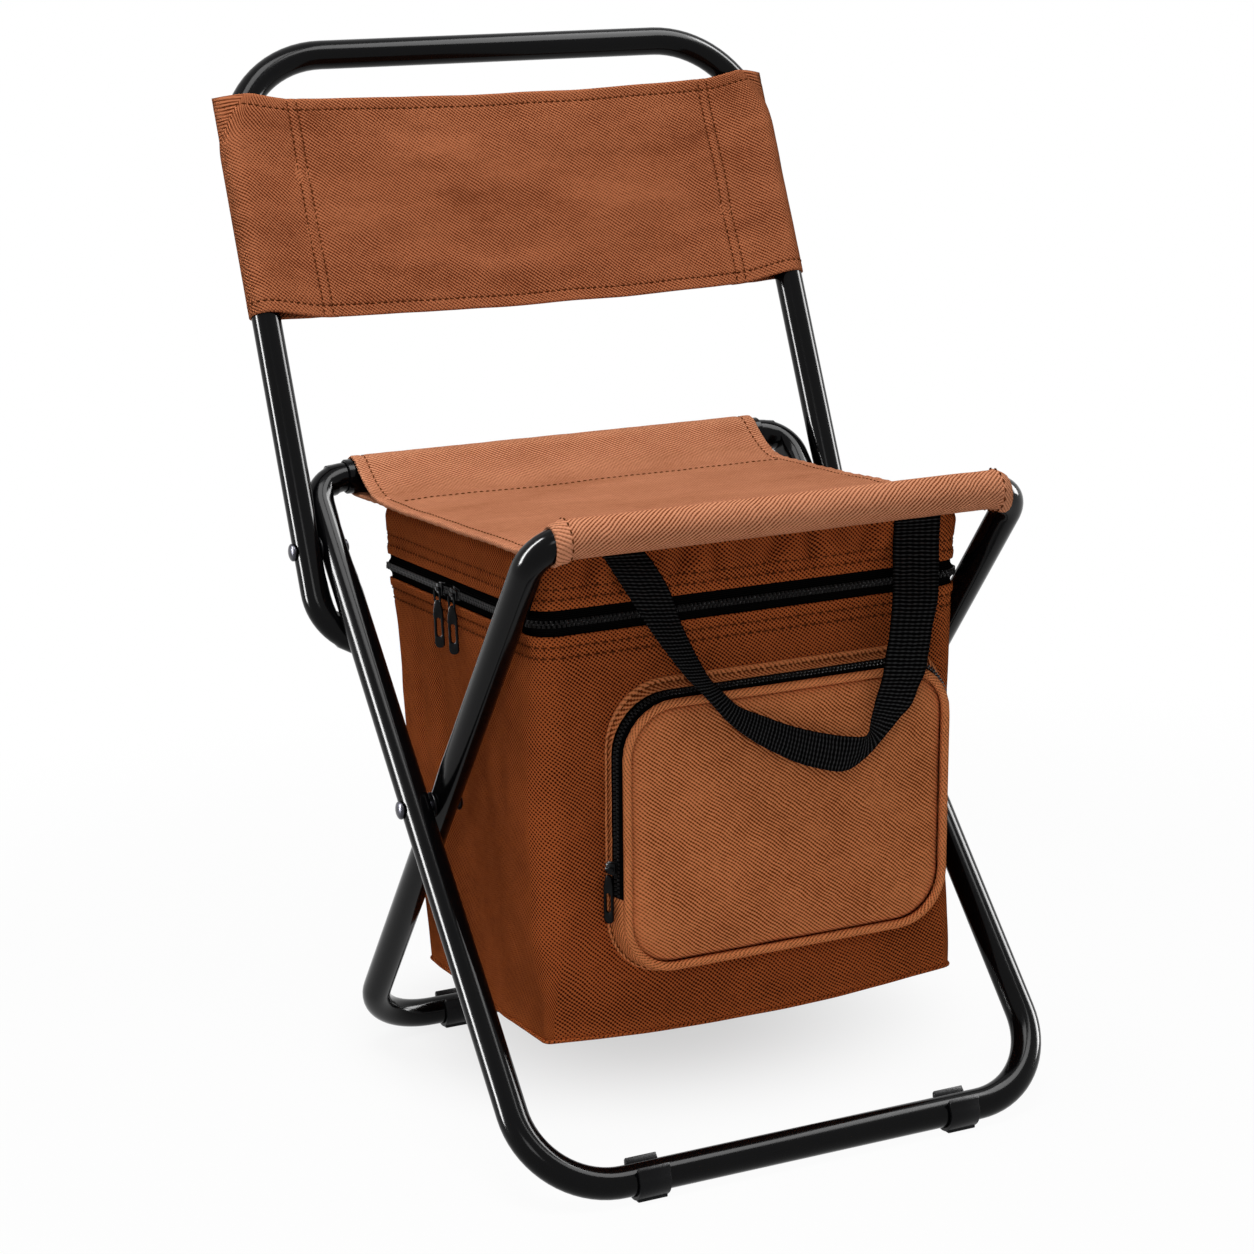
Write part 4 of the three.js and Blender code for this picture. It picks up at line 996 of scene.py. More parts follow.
def bagPlace(c, z):
    rows = range(len(bagHeights) - 1)
    index = min(rows, key=lambda k: 0 if bagHeights[k] <= z <= bagHeights[k + 1] else 1)
    share = (z - bagHeights[index]) / (bagHeights[index + 1] - bagHeights[index])
    spot = mix(valueAt(bagLoops[index], c), valueAt(bagLoops[index + 1], c), share)
    along = valueAt(loopLengths, c)
    waves = sum(ripple(along, z, *wave) for wave in bag["waves"])
    puff = (bagPuff(c, z) + waves * joinFade(c, loopEnd)) * ease((bag["rim"] - z) / bag["held"])
    spot = spot + loopNormal(bagLoops[index], c).xy * puff
    u = (c - frontStart) / counts["front"]
    droop = bag["sag"] * math.sin(math.pi * u) * ease((150 - z) / 90) if 0 <= u <= 1 else 0.0
    return Vector((spot.x, spot.y, z - droop))


def bagSkin(c, r):
    z = min(bag["rim"], max(bag["bottom"], valueAt(bagHeights, r)))
    return bagPlace(c % loopEnd if c > loopEnd else c, z)


# The wall's rim stands out in a lip over the zip tape, with two sewn grooves under it
def bagWall(c, r):
    z = valueAt(bagHeights, r)
    out = bag["lip"] * ease((z - bag["rim"] + 6.0) / 1.5)
    out -= sum(bag["seamDepth"] * ridge(bag["rim"] - z, depth, 1.0) for depth in bag["seams"])
    return bagSkin(c, r) + loopNormal(bagLoops[min(int(r), bag["rows"])], c % loopEnd) * out


# A panel sewn into a loop's edge. Its height comes from dip, which is given the edge's height, the level one
# and the share of the way in.
def closingPanel(name, edge, rings, dip, facing, body):
    centre = sum(edge[:-1], Vector()) / loopEnd
    shares = spread(0, 1, rings)

    def place(c, r):
        spot = mix(edge[c], centre, shares[r])
        spot.z = dip(edge[c].z, spot.z, shares[r])
        return spot

    bm = layCloth(loopLengths, shares, place, close=True)
    mapPanel(bm, Vector((0, 0, facing)))
    makePiece(name, bm, bagTwill, body, wall=bag["cloth"])


# Rows of stitches from the rear join round to it again
def sewRound(name, skin, rows, body):
    threads = bmesh.new()
    for r in rows:
        for start, finish in ((2, leftEnd), (leftEnd, frontEnd), (frontEnd, loopEnd - 2)):
            sewRow(threads, skin, (start, r), (finish, r), pitch=4.4, length=2.9, thick=0.55, lift=0.1)
    makePiece(name, threads, brownThread, body)


# A round cord along a closed line
def cordRound(points, radius, sides):
    columns = runLengths(points)
    rows = [radius * 2 * math.pi * k / sides for k in range(sides + 1)]
    last = len(points) - 1

    def place(c, r):
        run = (points[1 if c == last else c + 1] - points[last - 1 if c == 0 else c - 1]).normalized()
        side = run.cross(Vector((0, 0.2, 1))).normalized()
        angle = 2 * math.pi * r / sides
        return points[c] + side * (radius * math.cos(angle)) + run.cross(side) * (radius * math.sin(angle))

    bm = layCloth(columns, rows, place, close=True)
    bmesh.ops.recalc_face_normals(bm, faces=bm.faces)
    return bm


def makeBag():
    heights = bagHeights[:-6] + spread(bagHeights[-6], bag["rim"], 18)
    rows = [bagRow(z) for z in heights]
    bm = layCloth(loopLengths, heights, lambda c, r: bagWall(c, valueAt(rows, r)), close=True)
    makePiece("bag_wall", bm, bagTwill, "bag_body", ["bag_shell"], wall=bag["cloth"])
    floorEdge = [bagSkin(c, 0) for c in range(loopEnd + 1)]
    floorLow = bag["bottom"] - bag["floorSag"]
    closingPanel("bag_floor", floorEdge, 12,
                 lambda edge, flat, share: mix(edge, floorLow, math.sin(share * math.pi / 2)), -1, "bag_body")
    sewRound("bag_stitches", bagSkin, [bagRow(bag["rim"] - depth) for depth in bag["seams"]], "bag_body")
    welt = cordRound([spot + Vector((0, 0, -0.3)) for spot in floorEdge], bag["welt"], 8)
    makePiece("bag_floor_welt", welt, bagTwill, "bag_body")


makeBag()
print("bag body done")

# Lid: the cloth band over the zip, flaring to the rails and gathered a little at its top.
# Pleats on its front: place along it, width, depth and lean.
lid = {"low": 291.0, "top": 318.2, "flareTop": 321.0, "flareFront": 9.0, "flareRear": 8.0, "rows": 22,
       "tuckIn": 2.2, "seams": (5.0, 10.5), "gather": (15, 0.8, 3.3), "waves": (24, 0.6, 1.2), "dip": 0.8,
       "pleats": [(0.06, 0.022, 3.2, 0.02), (0.16, 0.02, 3.8, -0.03), (0.29, 0.026, 4.2, 0.03),
                  (0.4, 0.018, 3.0, -0.02), (0.53, 0.024, 4.0, 0.03), (0.66, 0.02, 3.4, -0.03),
                  (0.78, 0.024, 3.8, 0.02), (0.92, 0.02, 3.0, 0.0)]}


def lidLoopAt(z):
    share = (z - lid["low"]) / (lid["flareTop"] - lid["low"])
    return bagLoop(z, 0.0, lid["flareFront"] * share, lid["flareRear"] * share, radius=bag["corner"])


lidHeights = spread(lid["low"], lid["top"], lid["rows"])
lidLoops = [lidLoopAt(z) for z in lidHeights]


def lidSkin(c, r):
    r = min(max(r, 0), lid["rows"])
    low = min(int(r), lid["rows"] - 1)
    c = c % loopEnd if c > loopEnd else c
    spot = mix(valueAt(lidLoops[low], c), valueAt(lidLoops[low + 1], c), r - low)
    z = valueAt(lidHeights, r)
    share = (z - lid["low"]) / (lid["top"] - lid["low"])
    along = valueAt(loopLengths, c)
    fade = joinFade(c, loopEnd)
    puff = ease(share * 1.2) * (ripple(along, z * 0.25, *lid["gather"]) * fade - 0.4)
    u = (c - frontStart) / counts["front"]
    if 0 <= u <= 1:
        for place, width, depth, lean in lid["pleats"]:
            deep, at = depth * ease((share - 0.1) / 0.5), place + lean * share
            puff += deep * (0.5 * ridge(u, at + 2.4 * width, 1.6 * width) - ridge(u, at, width))
    else:
        puff -= lid["tuckIn"] * ease((share - 0.72) / 0.28)
    puff += bag["lip"] * ease((lid["low"] + 6.0 - z) / 1.5)
    puff += ripple(along, z, *lid["waves"]) * ease(share * 3) * fade
    puff -= sum(bag["seamDepth"] * ridge(z - lid["low"], depth, 1.0) for depth in lid["seams"])
    return Vector((spot.x, spot.y, z)) + loopNormal(lidLoops[low], c % loopEnd) * puff


def makeLid():
    bm = layCloth(loopLengths, lidHeights, lidSkin, close=True)
    makePiece("lid_wall", bm, bagTwill, "bag_lid", ["lid_band"], wall=bag["cloth"])
    closingPanel("lid_top", [lidSkin(c, lid["rows"]) for c in range(loopEnd + 1)], 10,
                 lambda edge, flat, share: flat - lid["dip"] * math.sin(share * math.pi), 1, "bag_lid")
    perMm = lid["rows"] / (lid["top"] - lid["low"])
    sewRound("lid_stitches", lidSkin, [depth * perMm for depth in lid["seams"]], "bag_lid")


makeLid()
print("lid done")

# Main zip: two black tapes with a coil of teeth on each, round the sides and the front
zipper = {"tape": 7.4, "wall": 0.9, "rows": 10, "bulge": 1.5, "sunk": 0.5, "tuck": 0.5, "split": 0.25,
          "tooth": (1.25, 1.6, 1.9), "pitch": 2.3, "toothUp": 0.75, "toothOut": 1.25}


# A block laid along a run: its own length, width and height follow the three directions
def toothInto(bm, size, centre, along, across, facing):
    turn = Matrix((along, across, facing)).transposed().to_4x4()
    bmesh.ops.create_cube(bm, size=1, matrix=Matrix.Translation(centre) @ turn @ Matrix.Diagonal((*size, 1)))


def tapePlace(edgeZ, direction):
    def place(c, r):
        share = r / zipper["rows"]
        z = edgeZ - direction * zipper["tape"] * (1 - share)
        loop = bagLoop(min(z, bag["zip"]), 0.0, radius=bag["corner"])
        spot = valueAt(loop, c)
        out = zipper["bulge"] * ease((share - 0.45) / 0.4) - zipper["sunk"]
        out -= zipper["tuck"] * ease((share - 0.88) / 0.12)
        return Vector((spot.x, spot.y, z)) + loopNormal(loop, c % loopEnd) * out
    return place


def makeZip():
    zipRows = spread(0, zipper["tape"], zipper["rows"])
    loop = bagLoop(bag["zip"], 0.0, radius=bag["corner"])
    spots, _ = evenly(loop[counts["rear"] + 2:loopEnd - counts["rear"] - 1], zipper["pitch"])
    for word, body, direction in (("lower", "bag_body", 1), ("upper", "bag_lid", -1)):
        place = tapePlace(bag["zip"] - direction * zipper["split"], direction)
        bm = layCloth(loopLengths, zipRows, place, close=True, turnOver=direction < 0)
        makePiece("zip_tape_" + word + "_cloth", bm, tapeCloth, body, ["zip_tape_" + word],
                  wall=zipper["wall"])
        teeth = bmesh.new()
        for k, spot in enumerate(spots[1:-1], 1):
            run = (spots[k + 1] - spots[k - 1]).normalized().to_3d()
            normal = Vector((run.y, -run.x, 0))
            centre = Vector((spot.x, spot.y, bag["zip"] - direction * zipper["toothUp"]))
            centre += normal * zipper["toothOut"] + run * (zipper["pitch"] / 2 if direction > 0 else 0.0)
            toothInto(teeth, zipper["tooth"], centre, run, normal, run.cross(normal))
        makePiece("zip_teeth_" + word, teeth, coilNylon, body)


makeZip()
print("main zip done")

# Pocket on the sloping front: a sewn flange, a slanting zip round its top, a piped edge and a full panel.
# Each profile point is how far it lies inside the outline and how far out from the bag.
pocket = {"centre": 12.0, "half": 90.0, "low": 35.0, "high": 173.0, "corner": 26.0, "edge": 14.0,
          "crown": 3.6, "piping": 2.3, "zipLow": 74.0, "zipRight": 140.0, "cloth": 1.2, "rim": 2.2,
          "rings": 24,
          "flange": [(-5.8, 0.1), (-6.1, 0.9), (-5.7, 1.7), (-5.2, 1.7), (-4.7, 1.4), (-4.3, 1.9),
                     (-4.2, 2.7), (-4.1, 3.5), (-4.1, 4.3)],
          "tape": [(-4.0, 4.5), (-3.8, 6.0), (-3.6, 7.5), (-3.3, 8.9), (-2.9, 10.3), (-2.4, 11.5),
                   (-1.9, 12.6)],
          "stitchRow": 3.6, "brim": 4.0, "hinge": 2.8, "tooth": (1.1, 1.4, 0.9), "pitch": 2.1,
          "toothOut": 0.5, "toothApart": 0.8, "toothShift": 0.5}
slope = math.atan2(bag["frontLow"] - bag["frontHigh"], bag["zip"] - bag["bottom"])
panelUp = Vector((0, -math.sin(slope), math.cos(slope)))
panelOut = Vector((0, -math.cos(slope), -math.sin(slope)))
pocketSteps = {"arc": 8, "side": 26, "bottom": 32}


def onPanel(across, up, out):
    return Vector((pocket["centre"] + across, bag["frontLow"], bag["bottom"])) + panelUp * up + panelOut * out


def pocketLoop(inset):
    half, low, high = pocket["half"] - inset, pocket["low"] + inset, pocket["high"] - inset
    corners = [Vector((half, low)), Vector((half, high)), Vector((-half, high)), Vector((-half, low))]
    arc, side, bottom = pocketSteps["arc"], pocketSteps["side"], pocketSteps["bottom"]
    return roundedLoop(corners, pocket["corner"] - inset, arc, [side, bottom, side, bottom // 2])


pocketFlat = runLengths(pocketLoop(0))
pocketEnd = len(pocketFlat) - 1


# The zip ends lower on the left than on the right
def zipFoot(x):
    return pocket["zipLow"] if x < 0 else pocket["zipRight"]


# The bag's front swells a little, so the flange follows that skin at its outer edge
def frontSkin(across, up):
    x = pocket["centre"] + across
    z = bag["bottom"] + up * math.cos(slope)
    u = (x + bag["halfFront"] - bag["corner"]) / (2 * (bag["halfFront"] - bag["corner"]))
    c = frontStart + min(1.0, max(0.0, u)) * counts["front"]
    spot = bagPlace(c, min(bag["rim"], max(bag["bottom"], z)))
    over = min(0.9, max(0.0, abs(x) - bag["halfFront"] + bag["corner"]) / bag["corner"])
    rounding = bag["corner"] * (1 - math.sqrt(1 - over * over))
    return (spot - onPanel(across, up, 0)).dot(panelOut) - rounding


def bandPlace(profile, follow):
    loops = [pocketLoop(inset) for inset, _ in profile]
    last = len(profile) - 1

    def place(c, r):
        r = min(max(r, 0), last)
        low = min(int(r), last - 1)
        c = c % pocketEnd if c > pocketEnd else max(c, 0)
        flat = mix(valueAt(loops[low], c), valueAt(loops[low + 1], c), r - low)
        out = mix(profile[low][1], profile[low + 1][1], r - low)
        hold = 1 - r / last
        lift = pocket["hinge"] * ease((72 - flat.y) / 30)
        if follow:
            flat.y += pocket["brim"] * hold * ease((flat.y - 130) / 34)
            out += lift * (1 - hold) + frontSkin(flat.x, flat.y) * hold
        else:
            out += lift * hold
        return onPanel(flat.x, flat.y, out + ripple(c * 6, r * 3, 12, 0.3, 2.7) * joinFade(c, pocketEnd))
    return place


def bandCloth(profile, place):
    bm = layCloth(pocketFlat, runLengths([Vector(p) for p in profile]), place, close=True)
    bmesh.ops.recalc_face_normals(bm, faces=bm.faces)
    return bm


def makeFlange():
    place = bandPlace(pocket["flange"], True)
    makePiece("pocket_flange", bandCloth(pocket["flange"], place), pocketTwill, "bag_body",
              ["pocket_gusset"], wall=pocket["cloth"])
    threads = bmesh.new()
    row = pocket["stitchRow"]
    stops = spread(0, pocketEnd, 8)
    for start, finish in zip(stops, stops[1:]):
        sewRow(threads, place, (start, row), (finish, row), pitch=4.0, length=2.8, turnOver=True)
    makePiece("pocket_stitches", threads, brownThread, "bag_body")


def makePocketZip():
    tape = pocket["tape"]
    band = makePiece("pocket_band", bandCloth(tape, bandPlace(tape, False)), tapeCloth, "pocket_flap",
                     ["pocket_zip_tape"], wall=zipper["wall"])
    band.data.materials.append(pocketTwill)
    for polygon in band.data.polygons:
        spot = Vector(polygon.center) / mm - onPanel(0, 0, 0)
        if spot.dot(panelUp) < zipFoot(spot.x):
            polygon.material_index = 1
    teeth = bmesh.new()
    inset, rise = tape[len(tape) // 2]
    spots, _ = evenly([p for p in pocketLoop(inset) if p.y > zipFoot(p.x)], pocket["pitch"])
    for k, spot in enumerate(spots[1:-1], 1):
        run = (spots[k + 1] - spots[k - 1]).normalized()
        along = Vector((run.x, 0, 0)) + panelUp * run.y
        outward = Vector((run.y, 0, 0)) - panelUp * run.x
        facing, rising = (outward + panelOut).normalized(), (panelOut - outward).normalized()
        for row in (-1, 1):
            centre = onPanel(spot.x, spot.y, rise) + facing * pocket["toothOut"]
            centre += rising * (pocket["toothApart"] * row) + along * (pocket["toothShift"] * row)
            toothInto(teeth, pocket["tooth"], centre, along, rising, facing)
    makePiece("pocket_teeth", teeth, coilNylon, "pocket_flap")


def makePocketPanel():
    piping = cordRound([onPanel(p.x, p.y, pocket["edge"]) for p in pocketLoop(0.2)], pocket["piping"], 10)
    makePiece("pocket_piping_cord", piping, pocketTwill, "pocket_flap", ["pocket_piping"])
    shares = spread(0, 1, pocket["rings"])
    rim = pocketLoop(pocket["rim"])
    middle = Vector((0, (pocket["low"] + pocket["high"]) / 2))

    def place(c, r):
        share = shares[r]
        flat = mix(rim[c], middle, share)
        out = pocket["edge"] - pocket["rim"] + 3.6 * ease(share / 0.07)
        out += pocket["crown"] * math.sin(min(1.0, share * 1.25) * math.pi / 2)
        out += ripple(flat.x, flat.y, 46, 1.2, 4.8) + ripple(flat.x, flat.y, 15, 0.3, 1.9) * ease(share * 4)
        return onPanel(flat.x, flat.y, out)

    bm = layCloth(pocketFlat, shares, place, close=True)
    mapPanel(bm, panelOut, panelUp, onPanel(0, 0, 0))
    makePiece("pocket_front", bm, pocketTwill, "pocket_flap", ["pocket_panel"], wall=pocket["cloth"])


makeFlange()
makePocketZip()
makePocketPanel()
print("pocket done")

# Carrying strap: flat webbing sewn on under the lid's front edge, hanging in one loop that folds at a corner.
# Stations: inner edge across and down, outer edge across and down, distance out. The lower edge twists out.
strap = {"wide": 25.0, "thick": 1.8, "columns": 12, "steps": 8, "twist": 2.6, "bow": 0.9, "sewn": 24,
         "flareLow": 290.8, "clear": 1.5, "stations": [
    (-66.0, 3.0, -87.5, 3.0, 1.2), (-59.9, 12.1, -84.0, 9.3, 4.5), (-53.9, 24.3, -77.5, 21.4, 10),
    (-50.7, 36.2, -70.9, 33.7, 14), (-48.3, 44.0, -66.9, 41.7, 16), (-43.3, 56.2, -59.4, 54.1, 18),
    (-36.6, 68.9, -50.0, 67.1, 18.5), (-29.8, 76.8, -39.7, 78.4, 18.5), (-20.9, 85.5, -28.3, 92.0, 18.5),
    (-8.5, 91.7, -15.6, 102.8, 18.5), (5.2, 98.2, -2.6, 111.3, 18.5), (17.9, 103.0, 10.6, 118.3, 18.5),
    (30.2, 106.7, 23.9, 123.3, 18.5), (40.4, 109.2, 33.0, 125.1, 18.5), (48.3, 110.3, 40.5, 123.1, 18.5),
    (50.7, 108.6, 48.1, 118.5, 18.5), (51.4, 106.1, 56.4, 111.4, 18.5), (53.3, 99.2, 65.9, 102.4, 18.5),
    (55.2, 93.3, 73.0, 96.7, 18.5), (57.8, 85.4, 78.5, 88.2, 18.5), (59.7, 77.5, 83.4, 80.5, 18.5),
    (62.5, 65.6, 86.2, 68.6, 18.3), (64.1, 57.7, 87.7, 60.6, 18), (67.4, 43.1, 92.8, 46.1, 16),
    (71.8, 29.3, 98.0, 32.4, 9), (74.4, 14.8, 100.8, 17.8, 1.6), (74.0, 3.0, 100.0, 3.0, 1.0)]}


def smoothLine(points, steps):
    smooth = []
    for i in range(len(points) - 1):
        a, b = points[max(0, i - 1)], points[i]
        c, d = points[i + 1], points[min(len(points) - 1, i + 2)]
        for t in spread(0, 1, steps)[:-1]:
            smooth.append(0.5 * (2 * b + (c - a) * t + (2 * a - 5 * b + 4 * c - d) * t * t
                                 + (3 * b - a - 3 * c + d) * t ** 3))
    return smooth + [points[-1]]


def strapSpot(x, down, out):
    z = lid["flareTop"] - down
    share = (z - strap["flareLow"]) / (lid["flareTop"] - strap["flareLow"])
    flare = lid["flareFront"] * min(1.0, max(0.0, share))
    return Vector((x, bag["frontHigh"] - flare - strap["clear"] - out, z))


def makeStrap():
    inner, outer = [], []
    for ix, iz, ox, oz, out in strap["stations"]:
        narrow = ease((24.5 - Vector((ox - ix, oz - iz)).length) / 9)
        inner.append(strapSpot(ix, iz, out - strap["twist"] * narrow))
        outer.append(strapSpot(ox, oz, out + strap["twist"] * narrow))
    inner, outer = smoothLine(inner, strap["steps"]), smoothLine(outer, strap["steps"])
    rows = runLengths([(a + b) / 2 for a, b in zip(inner, outer)])
    columns = spread(0, strap["wide"], strap["columns"])
    last = len(rows) - 1

    def place(c, r):
        share = c / strap["columns"]
        loose = ease(r / strap["sewn"]) * ease((last - r) / strap["sewn"])
        bow = strap["bow"] * (1 - (2 * share - 1) ** 2) + ripple(share * 20, r * 2.0, 20, 0.6, 3.9)
        return mix(inner[r], outer[r], share) + Vector((0, -strap["thick"] / 2 - bow * loose, 0))

    bm = layCloth(columns, rows, place)
    bmesh.ops.recalc_face_normals(bm, faces=bm.faces)
    if sum(f.normal.y * f.calc_area() for f in bm.faces) > 0:
        bmesh.ops.reverse_faces(bm, faces=bm.faces)
    makePiece("strap_webbing", bm, strapWebbing, "strap_loop", ["carry_strap"],
              wall=strap["thick"])


makeStrap()
print("strap done")

# Zip sliders and pulls: a body with a bridge, and a tab with a long slot near its foot
slider = {"length": 9.0, "pocketLength": 6.0, "width": 8.0, "thick": 3.0, "bridge": (4.6, 2.2, 1.5),
          "front": -31.25, "rear": -10.25, "sunk": 0.6}
pull = {"length": 30.5, "wide": 5.4, "thick": 1.5, "top": -5.0, "foot": 2.4, "neck": 0.72, "neckEnd": -9.0,
        "slot": (1.35, -24.6, -14.6, 1.3), "rim": 0.35, "lean": 42, "hang": (0, -0.5, 3.4),
        "pocketHang": (-2.7, 0.5, -1.0)}
hoop = {"points": [(-1.5, 0.2, 1.0), (-1.5, -6.4, 0.8), (1.5, -6.4, 0.8), (1.5, 0.2, 1.0)],
        "bend": 1.4, "wire": 0.65}


def blockInto(bm, size, centre, turn, bevel, taper=None):
    verts = bmesh.ops.create_cube(bm, size=1)["verts"]
    bmesh.ops.scale(bm, vec=size, verts=verts)
    if taper:
        for vert in verts:
            if vert.co.x * taper[0] > 0:
                vert.co.y *= taper[1]
    edges = list(dict.fromkeys(e for v in verts for e in v.link_edges))
    fresh = list(dict.fromkeys(v for f in roundEdges(bm, edges, bevel) for v in f.verts))
    bmesh.ops.transform(bm, matrix=Matrix.Translation(centre) @ turn, verts=fresh)


# A pull is a stamped tab: narrow neck, straight sides, rounded foot and a long slot
def pullTab(bm, top, turn):
    rings = []
    outline = (pull["wide"] / 2, -pull["length"], pull["top"], pull["foot"])
    for half, low, high, radius in (outline, pull["slot"]):
        corners = [Vector((-half, high)), Vector((-half, low)), Vector((half, low)), Vector((half, high))]
        loop = roundedLoop(corners, radius, 5, [6, 2, 6, 1])[:-1]
        neck = pull["neck"] if half == outline[0] else 1.0
        verts = [bm.verts.new((p.x * (neck if p.y > pull["neckEnd"] else 1.0), p.y, 0)) for p in loop]
        rings += [bm.edges.new((a, b)) for a, b in zip(verts, verts[1:] + verts[:1])]
    growPlate(bm, bmesh.ops.bridge_loops(bm, edges=rings)["faces"], pull["thick"], pull["rim"])
    bmesh.ops.transform(bm, matrix=Matrix.Translation(top) @ turn, verts=bm.verts)


def hoopInto(bm, top, turn):
    wire = bentTube([Vector(p) for p in hoop["points"]], [hoop["bend"]] * 2, hoop["wire"], 8, 2.0, 20.0)
    bmesh.ops.transform(wire, matrix=Matrix.Translation(top) @ turn, verts=wire.verts)
    scratch = bpy.data.meshes.new("pull hoop")
    wire.to_mesh(scratch)
    wire.free()
    bm.from_mesh(scratch)
    bpy.data.meshes.remove(scratch)


# The pull hangs at an offset from its slider, given along, up and out; a leaning one is held by a wire hoop
def makeZipper(word, place, upward, outward, long, nose, lean, hang, bodies, nodes):
    lengthwise = upward.cross(outward)
    turn = Matrix((lengthwise, upward, outward)).transposed().to_4x4()
    bm = bmesh.new()
    thick, wide = slider["thick"], slider["width"]
    blockInto(bm, (long, wide, 0.9), place + outward * 0.5, turn, 0.35, (nose, 0.72))
    blockInto(bm, (long * 0.9, wide * 0.86, 1.0), place + outward * (thick - 0.7), turn, 0.45, (nose, 0.7))
    blockInto(bm, (long * 0.35, wide * 0.3, thick), place + outward * thick / 2, turn, 0.3)
    blockInto(bm, slider["bridge"], place + outward * (thick + 0.45), turn, 0.6)
    makePiece(word + "_slider_body", bm, sliderEnamel, bodies[0], [nodes[0]], sharp=40)
    bm = bmesh.new()
    top = place + lengthwise * hang[0] + upward * hang[1] + outward * hang[2]
    pullTurn = turn @ Matrix.Rotation(math.radians(lean), 4, "Y")
    pullTab(bm, top, pullTurn)
    if lean:
        hoopInto(bm, top, pullTurn)
    makePiece(word + "_pull_tab", bm, sliderEnamel, bodies[1], [nodes[1]], sharp=40)


def makeZippers():
    left, upward = Vector((-1, 0, 0)), Vector((0, 0, 1))
    for word, nose in (("front", 1), ("rear", -1)):
        y, node = slider[word], "main_zip_" + word
        place = Vector((-bagSide(y - slider["length"] / 2) - slider["sunk"], y, bag["zip"]))
        makeZipper("main_" + word, place, upward, left, slider["length"], nose, pull["lean"], pull["hang"],
                   (word + "_slider", word + "_pull"), (node + "_slider", node + "_pull"))
    facing = (left * 1.5 + panelOut).normalized()
    place = onPanel(-(pocket["half"] + 5.8), 91.0, 9.1)
    makeZipper("pocket", place, panelUp, facing, slider["pocketLength"], -1, 0, pull["pocketHang"],
               ("pocket_runner", "pocket_tab"), ("pocket_zip_slider", "pocket_zip_pull"))


makeZippers()
print("zippers done")

# Inside the bag: foam between the cloth and a film liner, and a pad with its film in the lid
lining = {"foamInset": 1.8, "foam": 4.6, "filmInset": 6.8, "film": 0.6, "floor": 71.5, "filmFloor": 76.9,
          "rows": 24, "below": 0.5, "padInset": 3.0, "pad": (309.0, 315.8), "padFilm": (307.6, 308.7),
          "padRim": 0.4}


def lined(name, inset, wall, low, node, material):
    heights = spread(low, bag["rim"] - lining["below"], lining["rows"])
    loops = [bagLoop(z, inset) for z in heights]

    def place(c, r):
        z = heights[r]
        spot = valueAt(loops[r], c)
        inward = min(0.0, bagPuff(c, z)) * ease((bag["rim"] - z) / bag["held"])
        return Vector((spot.x, spot.y, z)) + loopNormal(loops[r], c % loopEnd) * inward

    bm = layCloth(loopLengths, heights, place, close=True)
    rim = [e for e in bm.edges if e.is_boundary and max(v.co.z for v in e.verts) < low + 1]
    bmesh.ops.contextual_create(bm, geom=rim)
    bmesh.ops.recalc_face_normals(bm, faces=bm.faces)
    return makePiece(name, bm, material, "bag_body", [node], wall=wall)


def lidPlate(name, heights, node, material):
    loop = bagLoop(bag["zip"], lining["padInset"], radius=bag["corner"])
    bm = bmesh.new()
    face = bm.faces.new([bm.verts.new((p.x, p.y, heights[0])) for p in loop[:-1]])
    growPlate(bm, [face], heights[1] - heights[0], lining["padRim"])
    return makePiece(name, bm, material, "bag_lid", [node], sharp=40)


def makeLining():
    foam = lined("bag_foam", lining["foamInset"], lining["foam"], lining["floor"], "insulation_foam",
                 foamWhite)
    lined("bag_film", lining["filmInset"], lining["film"], lining["filmFloor"], "foil_liner",
          foilFilm)
    pad = lidPlate("lid_pad", lining["pad"], "lid_foam", foamWhite)
    lidPlate("lid_film", lining["padFilm"], "lid_liner", foilFilm)


makeLining()
print("lining done")

# Studio: white all round for the eye and for reflections, soft light for the cloth
light = {
    "ambient": 0.225, "floor": 0.7, "floorRadius": 12.0, "floorGlow": 0.96, "fadeFrom": 0.42, "fadeTo": 0.95,
    # Shade: a fixed patch under the bag where the floor glows less, painted shadow over the real one
    "shade": {"place": (0.03, 0.08, 0), "from": 0.02, "to": 0.2, "glow": 0.58},
}
lamps = {
    "top": {"place": (-0.3, -0.4, 2.0), "size": (0.8, 0.8), "power": 26.5},
    "front": {"place": (-1.1, -1.8, 1.2), "size": (0.5, 0.5), "power": 6.5},
    "left strip": {"place": (-2.0, 0.5, 1.1), "size": (0.4, 2.8), "power": 370.0, "mirrorOnly": True},
    "right strip": {"place": (2.0, -0.2, 1.1), "size": (0.6, 2.8), "power": 190.0, "mirrorOnly": True},
    "top card": {"place": (0.9, -0.4, 2.2), "size": (1.8, 0.9), "power": 75.0, "mirrorOnly": True},
}
lampAim = Vector((0, 0, 0.3))


def hangLamp(name, settings):
    data = bpy.data.lights.new(name, "AREA")
    data.shape = "RECTANGLE"
    data.size, data.size_y = settings["size"]
    data.energy = settings["power"]
    lamp = bpy.data.objects.new(name, data)
    bpy.context.scene.collection.objects.link(lamp)
    lamp.location = settings["place"]
    lamp.visible_diffuse = not settings.get("mirrorOnly", False)  # a card seen only in gloss
    lamp.rotation_euler = (lampAim - Vector(settings["place"])).to_track_quat("-Z", "Y").to_euler()


# 1 on what the camera, a reflection or a clear piece sees, 0 on light that falls on the pieces
def seenRays(tree):
    camera, glossy, clear = [addNode(tree, "ShaderNodeLightPath", output="Is " + ray + " Ray")
                             for ray in ("Camera", "Glossy", "Transmission")]
    either = addNode(tree, "ShaderNodeMath", {0: camera, 1: glossy}, operation="MAXIMUM")
    return addNode(tree, "ShaderNodeMath", {0: either, 1: clear}, operation="MAXIMUM")


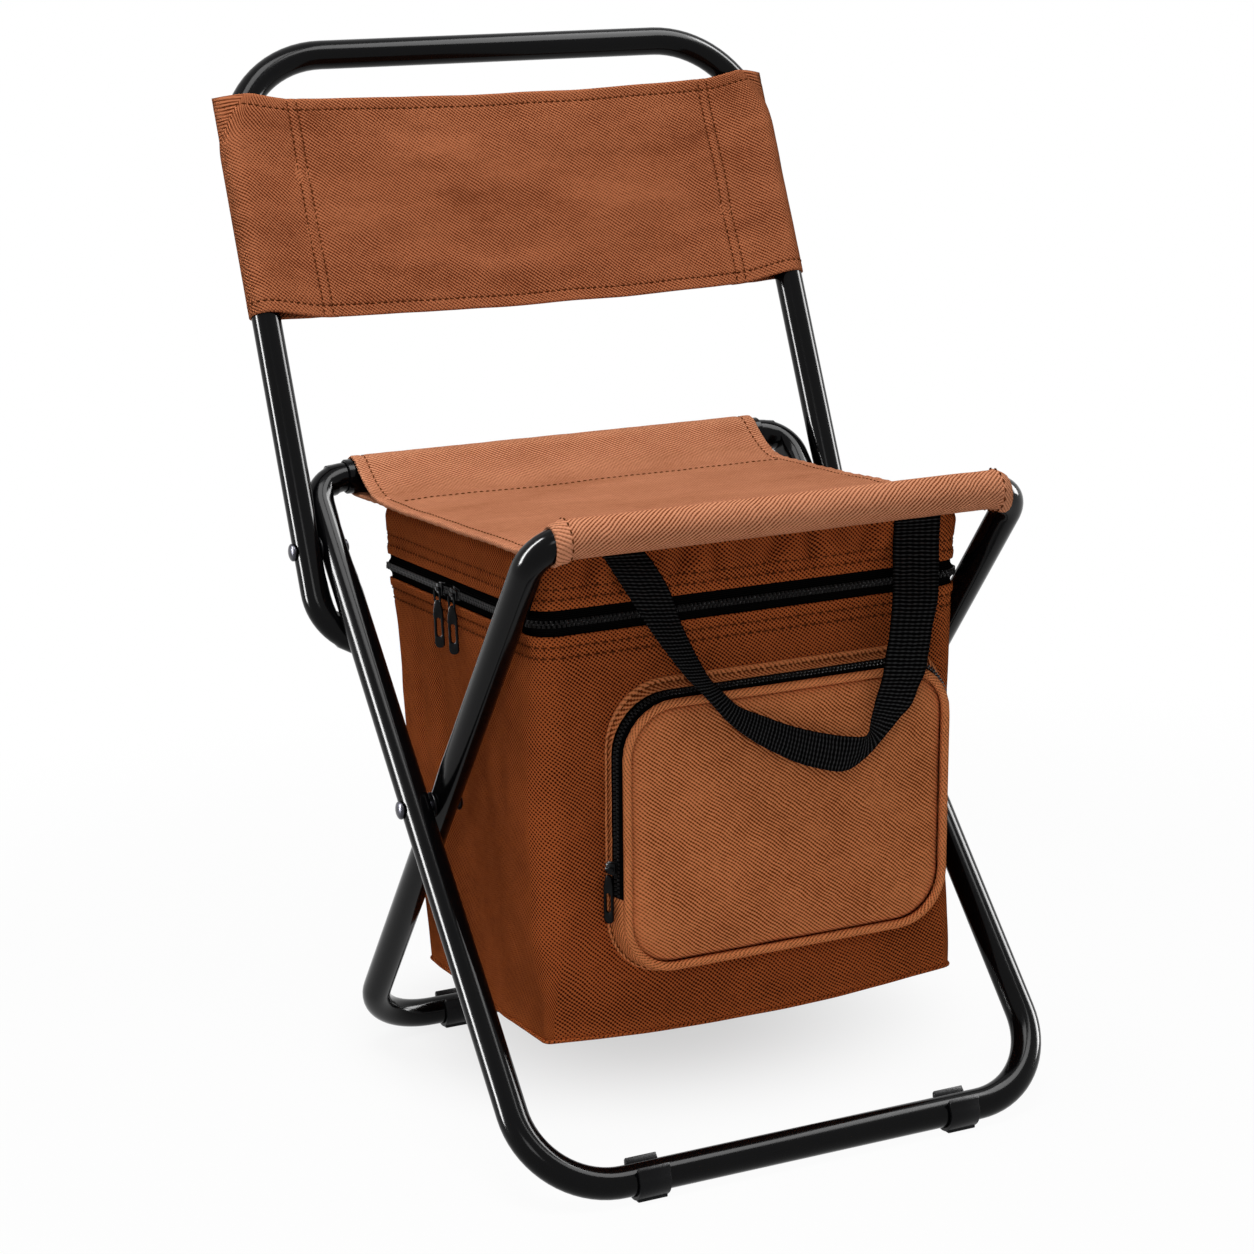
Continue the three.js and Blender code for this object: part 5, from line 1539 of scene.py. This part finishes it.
def whiteRoom():
    world = bpy.data.worlds.new("studio")
    bpy.context.scene.world = world
    world.use_nodes = True
    tree = world.node_tree
    tree.nodes.clear()
    soft = addNode(tree, "ShaderNodeBackground", {"Color": (1, 1, 1, 1), "Strength": light["ambient"]})
    white = addNode(tree, "ShaderNodeBackground", {"Color": (1, 1, 1, 1), "Strength": 1.0})
    both = addNode(tree, "ShaderNodeMixShader", {0: seenRays(tree), 1: soft, 2: white})
    addNode(tree, "ShaderNodeOutputWorld", {"Surface": both})


# The floor glows white for the eye, less so under the stool, where the paint's own shadow shows; that patch
# stays fixed on the floor, a painted shadow over the real one.
def floorPaint(name):
    material, tree, _ = newMaterial(name)
    tree.nodes.clear()
    paint = addNode(tree, "ShaderNodeBsdfDiffuse", {"Color": (light["floor"],) * 3 + (1,)})
    glow = addNode(tree, "ShaderNodeEmission", {"Color": (1, 1, 1, 1), "Strength": 1.0})
    place = addNode(tree, "ShaderNodeTexCoord", output="Object")
    shade = light["shade"]
    away = addNode(tree, "ShaderNodeVectorMath", {0: place, 1: shade["place"]}, "Value", operation="DISTANCE")
    far = addNode(tree, "ShaderNodeMapRange", {
        "Value": away, "From Min": light["fadeFrom"], "From Max": light["fadeTo"],
        "To Min": light["floorGlow"], "To Max": 1.0}, interpolation_type="SMOOTHSTEP")
    near = addNode(tree, "ShaderNodeMapRange", {
        "Value": away, "From Min": shade["from"], "From Max": shade["to"],
        "To Min": shade["glow"], "To Max": far}, interpolation_type="SMOOTHSTEP")
    share = addNode(tree, "ShaderNodeMath", {0: near, 1: seenRays(tree)}, operation="MULTIPLY")
    both = addNode(tree, "ShaderNodeMixShader", {0: share, 1: paint, 2: glow})
    addNode(tree, "ShaderNodeOutputMaterial", {"Surface": both})
    return material


def layFloor():
    bm = bmesh.new()
    bmesh.ops.create_circle(bm, cap_ends=True, segments=96, radius=light["floorRadius"])
    mesh = bpy.data.meshes.new("floor")
    bm.to_mesh(mesh)
    bm.free()
    floor = bpy.data.objects.new("floor", mesh)
    bpy.context.scene.collection.objects.link(floor)
    mesh.materials.append(floorPaint("white studio floor"))


whiteRoom()
for name, settings in lamps.items():
    hangLamp(name, settings)
layFloor()
print("studio done")
